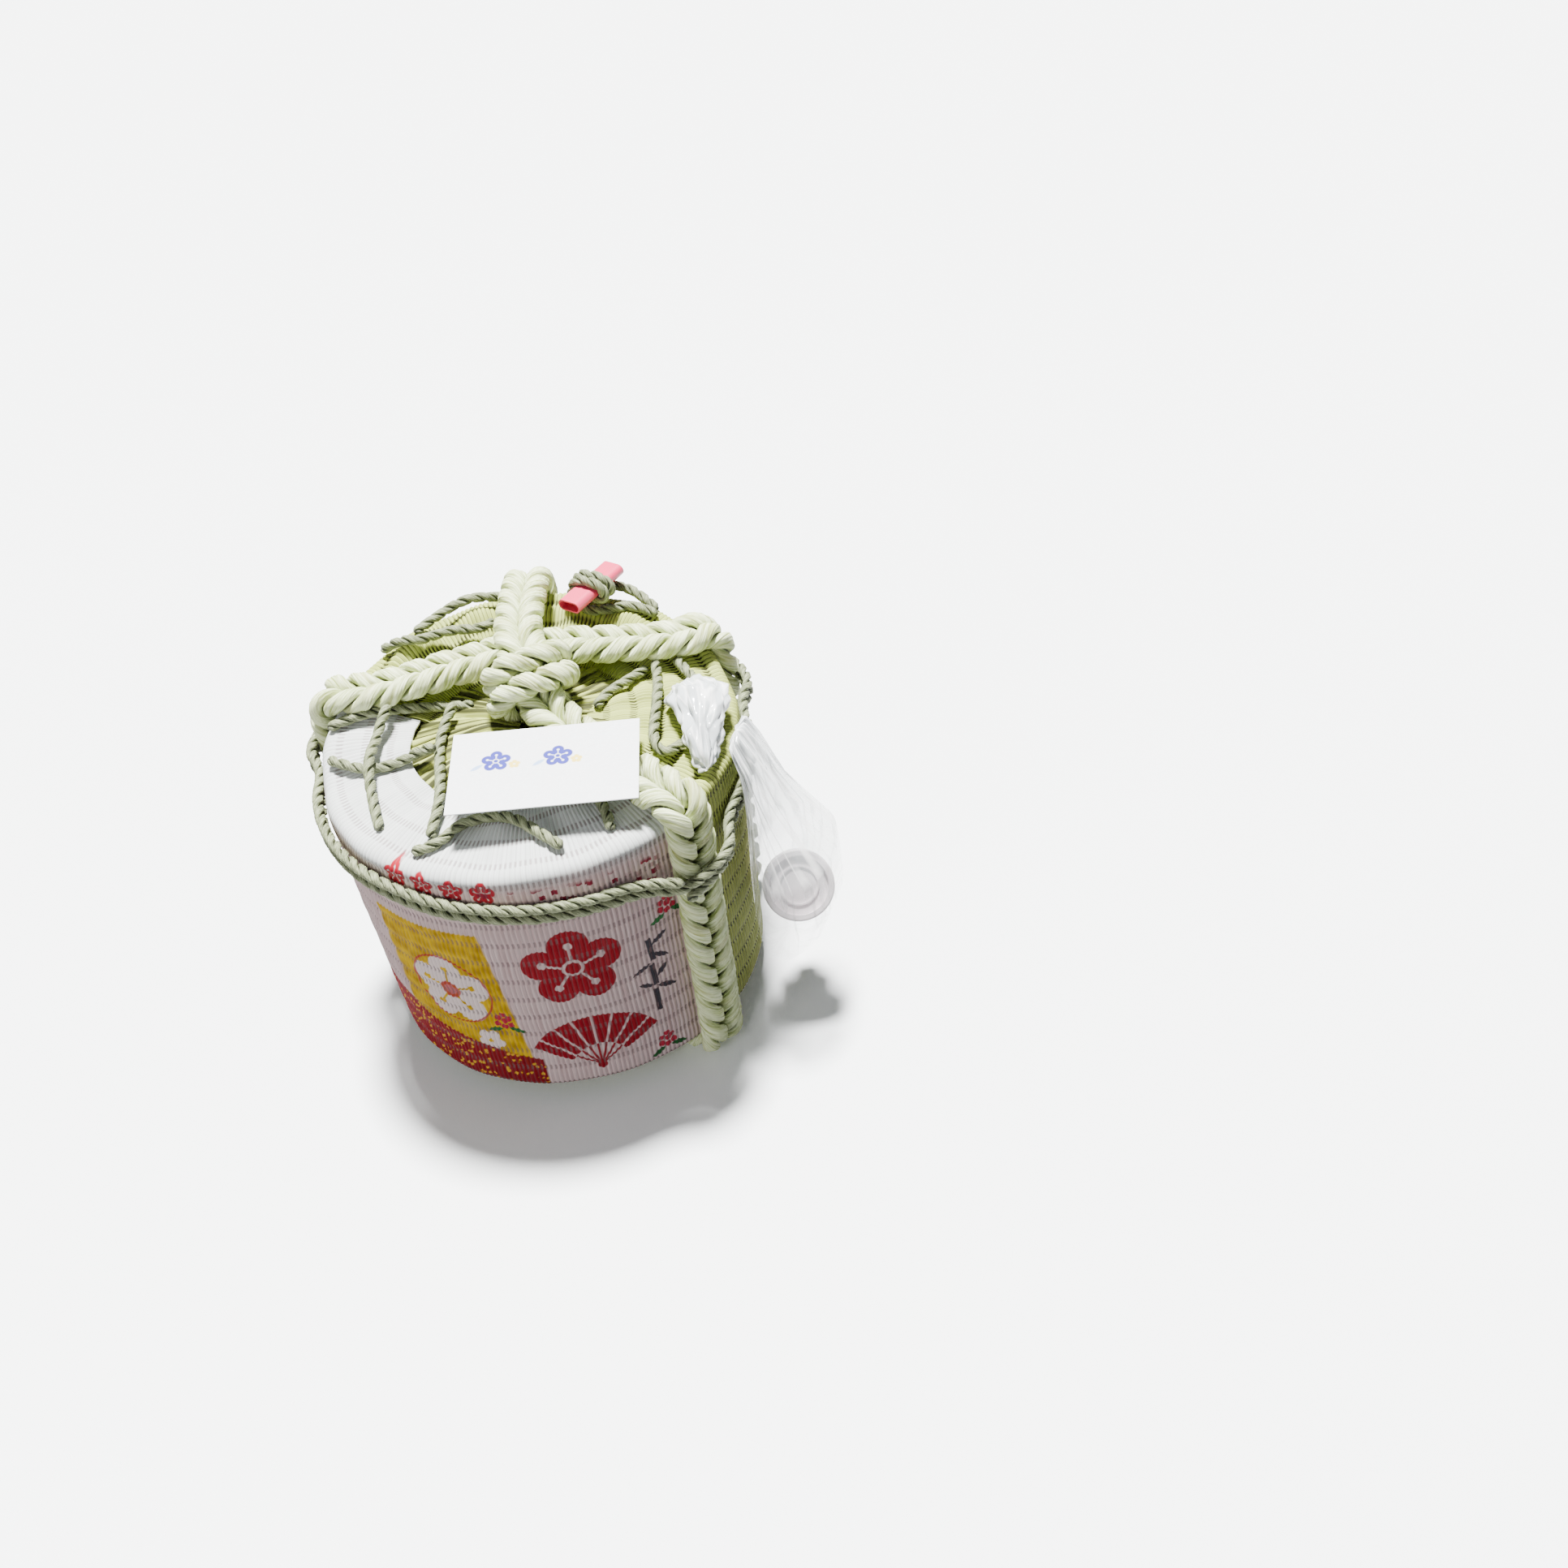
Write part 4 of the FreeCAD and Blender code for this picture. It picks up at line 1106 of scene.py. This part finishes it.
def bag_place(u, v):
    stops = np.linspace(0, 1, len(bag_rows))
    height, reach, breadth, depth = (
        np.interp(v, stops, [row[index] for row in bag_rows]) for index in range(4))
    end = np.clip(np.minimum(v, 1 - v) / 0.02, 0, 1) ** 0.5
    angle = 2 * math.pi * u
    slack = np.clip(1 - np.abs(height - 0.45) / 0.55, 0, 1)
    crease = (1 - np.abs(np.sin(angle * 4 + 3 * v))) * 2.2 * (1.15 - slack)
    crease = crease + (1 - np.abs(np.sin(angle * 7 - 5 * v + 1))) * 1.3 * (1.1 - slack)
    broad = (breadth * rim_radius - crease * 0.8) * end
    deep = (depth * rim_radius - crease * 0.5) * end
    side = turned_to(bag_azimuth + 90)
    out = turned_to(bag_azimuth)
    level = base_level + bag_height * height
    middle = reach * rim_radius
    return np.stack([
        middle * out.x + side.x * broad * np.cos(angle) + out.x * deep * np.sin(angle),
        middle * out.y + side.y * broad * np.cos(angle) + out.y * deep * np.sin(angle),
        level], axis=1)


bag = piece("film_pouch", [grid("film_pouch", 96, 60, bag_place)], clear_film, "pouch", replaced=["film_bag"])

# Each row of the bunch: its Y and X, its breadth and its depth
bunch_rows = (
    (-0.03, 0.77, 0.05, 0.04), (-0.08, 0.785, 0.11, 0.07), (-0.18, 0.8, 0.15, 0.09),
    (-0.28, 0.795, 0.145, 0.105), (-0.39, 0.78, 0.11, 0.09), (-0.5, 0.75, 0.09, 0.08),
    (-0.59, 0.735, 0.07, 0.045), (-0.63, 0.73, 0.04, 0.02),
)


def bunch_place(u, v):
    stops = np.linspace(0, 1, len(bunch_rows))
    y, x, breadth, depth = (
        np.interp(v, stops, [row[index] for row in bunch_rows]) * rim_radius for index in range(4))
    angle = 2 * math.pi * u
    crease = (1 - np.abs(np.sin(angle * 3 + 5 * v))) * 3.4 + (1 - np.abs(np.sin(angle * 5 - 9 * v))) * 2.2
    crease = crease + 1.6 * np.sin(angle * 2 + 17 * v) + 1.3 * np.sin(angle * 7 + 29 * v)
    crease = crease + 0.9 * np.abs(np.sin(angle * 9 - 31 * v + 1))
    end = np.clip(np.minimum(v, 1 - v) / 0.04, 0, 1) ** 0.5
    level = top_level + crown * (1 - np.hypot(x, y) / (rim_radius - rim_rounding)) + 3 + depth
    return np.stack([
        x + (breadth - crease * 0.6) * np.cos(angle) * end,
        y + 1.5 * np.sin(angle * 2 + v * 9),
        level + (depth - crease * 0.5) * np.sin(angle) * end], axis=1)


bunch = piece(
    "film_bunch", [grid("film_bunch", 72, 48, bunch_place)], bunched_film, replaced=["bag_bunch"])


# Underside

foot_inner = 1
foot_outer = 90.5


def foot_place(u, v):
    angle = -2 * math.pi * u
    radius = foot_inner + (foot_outer - foot_inner) * v
    weave = 0.5 * np.abs(np.sin(radius * math.pi / straw_pitch))
    return np.stack([radius * np.cos(angle), radius * np.sin(angle), base_level + 0.1 + weave], axis=1)


foot_mesh = grid("foot_straw", 90, 120, foot_place)
stretch(foot_mesh, 60, 36)
foot = piece("foot_straw", [foot_mesh], pleat_finish, replaced=["foot_mat"], wall=1.5)


# Finishes of the rigid pieces

def cedar_wood(name, pale, dark):
    finish = Finish(name, 0.55)
    x, y, z = finish.axes(finish.place())
    grain = finish.noise(finish.vector(x * 60, y * 60, z * 4), 6.0, 4.0)
    finish.colour(finish.mixed(grain, dark, pale))
    finish.bump(grain, 0.2, 0.3)
    return finish.material


def moulded(name, colour, roughness):
    finish = Finish(name, roughness)
    haze = finish.noise(finish.place(), 90.0, 2.0)
    finish.colour(finish.mixed(haze, dimmed(colour, 0.9), colour))
    finish.bump(haze, 0.08, 0.3)
    return finish.material


card_middle = (2.8, -49.5)
card_turn = math.radians(-12)


class CardPrint(Print):
    # the same shapes, in millimetres along and across the card
    def __init__(self, finish):
        self.finish = finish
        x, y = finish.axes(finish.place())[:2]
        east = x * 1000 - card_middle[0]
        north = y * 1000 - card_middle[1]
        c, s = math.cos(card_turn), math.sin(card_turn)
        self.across = east * c + north * s
        self.up = north * c - east * s


def card_paper():
    finish = Finish("card_paper", 0.45)
    fibre = finish.noise(finish.place(), 700.0, 2.0)
    tone = finish.mixed(fibre, rgb("dfe2e6"), rgb("f4f6f8"))
    design = CardPrint(finish)
    for across in (-22, 6):
        tone = finish.mixed(blossom(design, across, 6, 7.5), tone, rgb("12188f"))
        tone = finish.mixed(design.petals(across + 8.5, 3, 1.6, 1.15, 5, 90), tone, rgb("e9cf62"))
        tone = finish.mixed(design.leaf(across - 8.5, 2.5, 7, 2.2, 35), tone, rgb("9db7e0"))
    finish.colour(tone)
    finish.bump(fibre, 0.05, 0.1)
    return finish.material


def straw_fill():
    finish = Finish("straw_fill", 0.8)
    x, y, z = finish.axes(finish.place())
    stalk = finish.noise(finish.vector(x * 90, y * 90, z * 12), 8.0, 3.0)
    finish.colour(finish.mixed(stalk, rgb("8f8350"), rgb("cfc58c")))
    finish.bump(stalk, 0.6, 1.0)
    return finish.material


finishes = {
    "cedar": cedar_wood("cedar", rgb("dcb98c"), rgb("b98d5c")),
    "bamboo": cedar_wood("bamboo", rgb("d8cc93"), rgb("b3a566")),
    "packing_straw": straw_fill(),
    "card_paper": card_paper(),
    "pink_plastic": moulded("pink_plastic", rgb("e0466a"), 0.32),
    "pale_plastic": moulded("pale_plastic", rgb("f4ebef"), 0.3),
}
slots = {part["node"]: part["material_slot"] for part in frame["record"]["subparts"]}
for name, thing in frame["nodes"].items():
    if slots[name] in finishes:
        thing.data.materials.clear()
        thing.data.materials.append(finishes[slots[name]])


# Floor and light

def floor_paper():
    finish = Finish("floor_paper", 0.9)
    haze = finish.noise(finish.place(), 2.0, 1.0)
    finish.colour(finish.mixed(haze, rgb("f1f4f6"), rgb("f6f8fa")))
    return finish.material


floor_size = 24
floor_level = -0.0006
bpy.ops.mesh.primitive_plane_add(size=floor_size, location=(0, 0, floor_level))
floor = bpy.context.object
floor.name = "floor"
floor.data.materials.append(floor_paper())
floor.visible_diffuse = False


def softbox(name, place, aim, size, power, colour):
    light = bpy.data.lights.new(name, "AREA")
    light.shape = "DISK"
    light.size = size
    light.energy = power
    light.color = colour
    lamp = bpy.data.objects.new(name, light)
    lamp.location = place
    lamp.rotation_euler = (Vector(aim) - Vector(place)).to_track_quat("-Z", "Y").to_euler()
    bpy.context.collection.objects.link(lamp)


def sun(name, direction, strength, angle, colour):
    light = bpy.data.lights.new(name, "SUN")
    light.energy = strength
    light.angle = math.radians(angle)
    light.color = colour
    lamp = bpy.data.objects.new(name, light)
    lamp.rotation_euler = Vector(direction).to_track_quat("Z", "Y").to_euler()
    bpy.context.collection.objects.link(lamp)


def studio_air(light, backdrop):
    # a faint light from all round, and beyond the floor's edge a backdrop as pale as the floor
    world = bpy.data.worlds.new("studio")
    world.use_nodes = True
    nodes, links = world.node_tree.nodes, world.node_tree.links
    air = nodes["Background"]
    air.inputs["Color"].default_value = (0.95, 0.97, 1.0, 1)
    air.inputs["Strength"].default_value = light
    far = nodes.new("ShaderNodeBackground")
    far.inputs["Color"].default_value = (1, 1, 1, 1)
    far.inputs["Strength"].default_value = backdrop
    seen = nodes.new("ShaderNodeLightPath")
    either = nodes.new("ShaderNodeMixShader")
    links.new(seen.outputs["Is Camera Ray"], either.inputs[0])
    links.new(air.outputs[0], either.inputs[1])
    links.new(far.outputs[0], either.inputs[2])
    links.new(either.outputs[0], nodes["World Output"].inputs["Surface"])
    bpy.context.scene.world = world


sun("key", (0.07, 0.26, 1), 23, 10, (1.0, 0.995, 0.97))
softbox("front", (-0.95, -0.9, 0.5), (0, 0, 0.1), 0.7, 9, (1.0, 0.98, 0.96))
studio_air(0.3, 5.5)
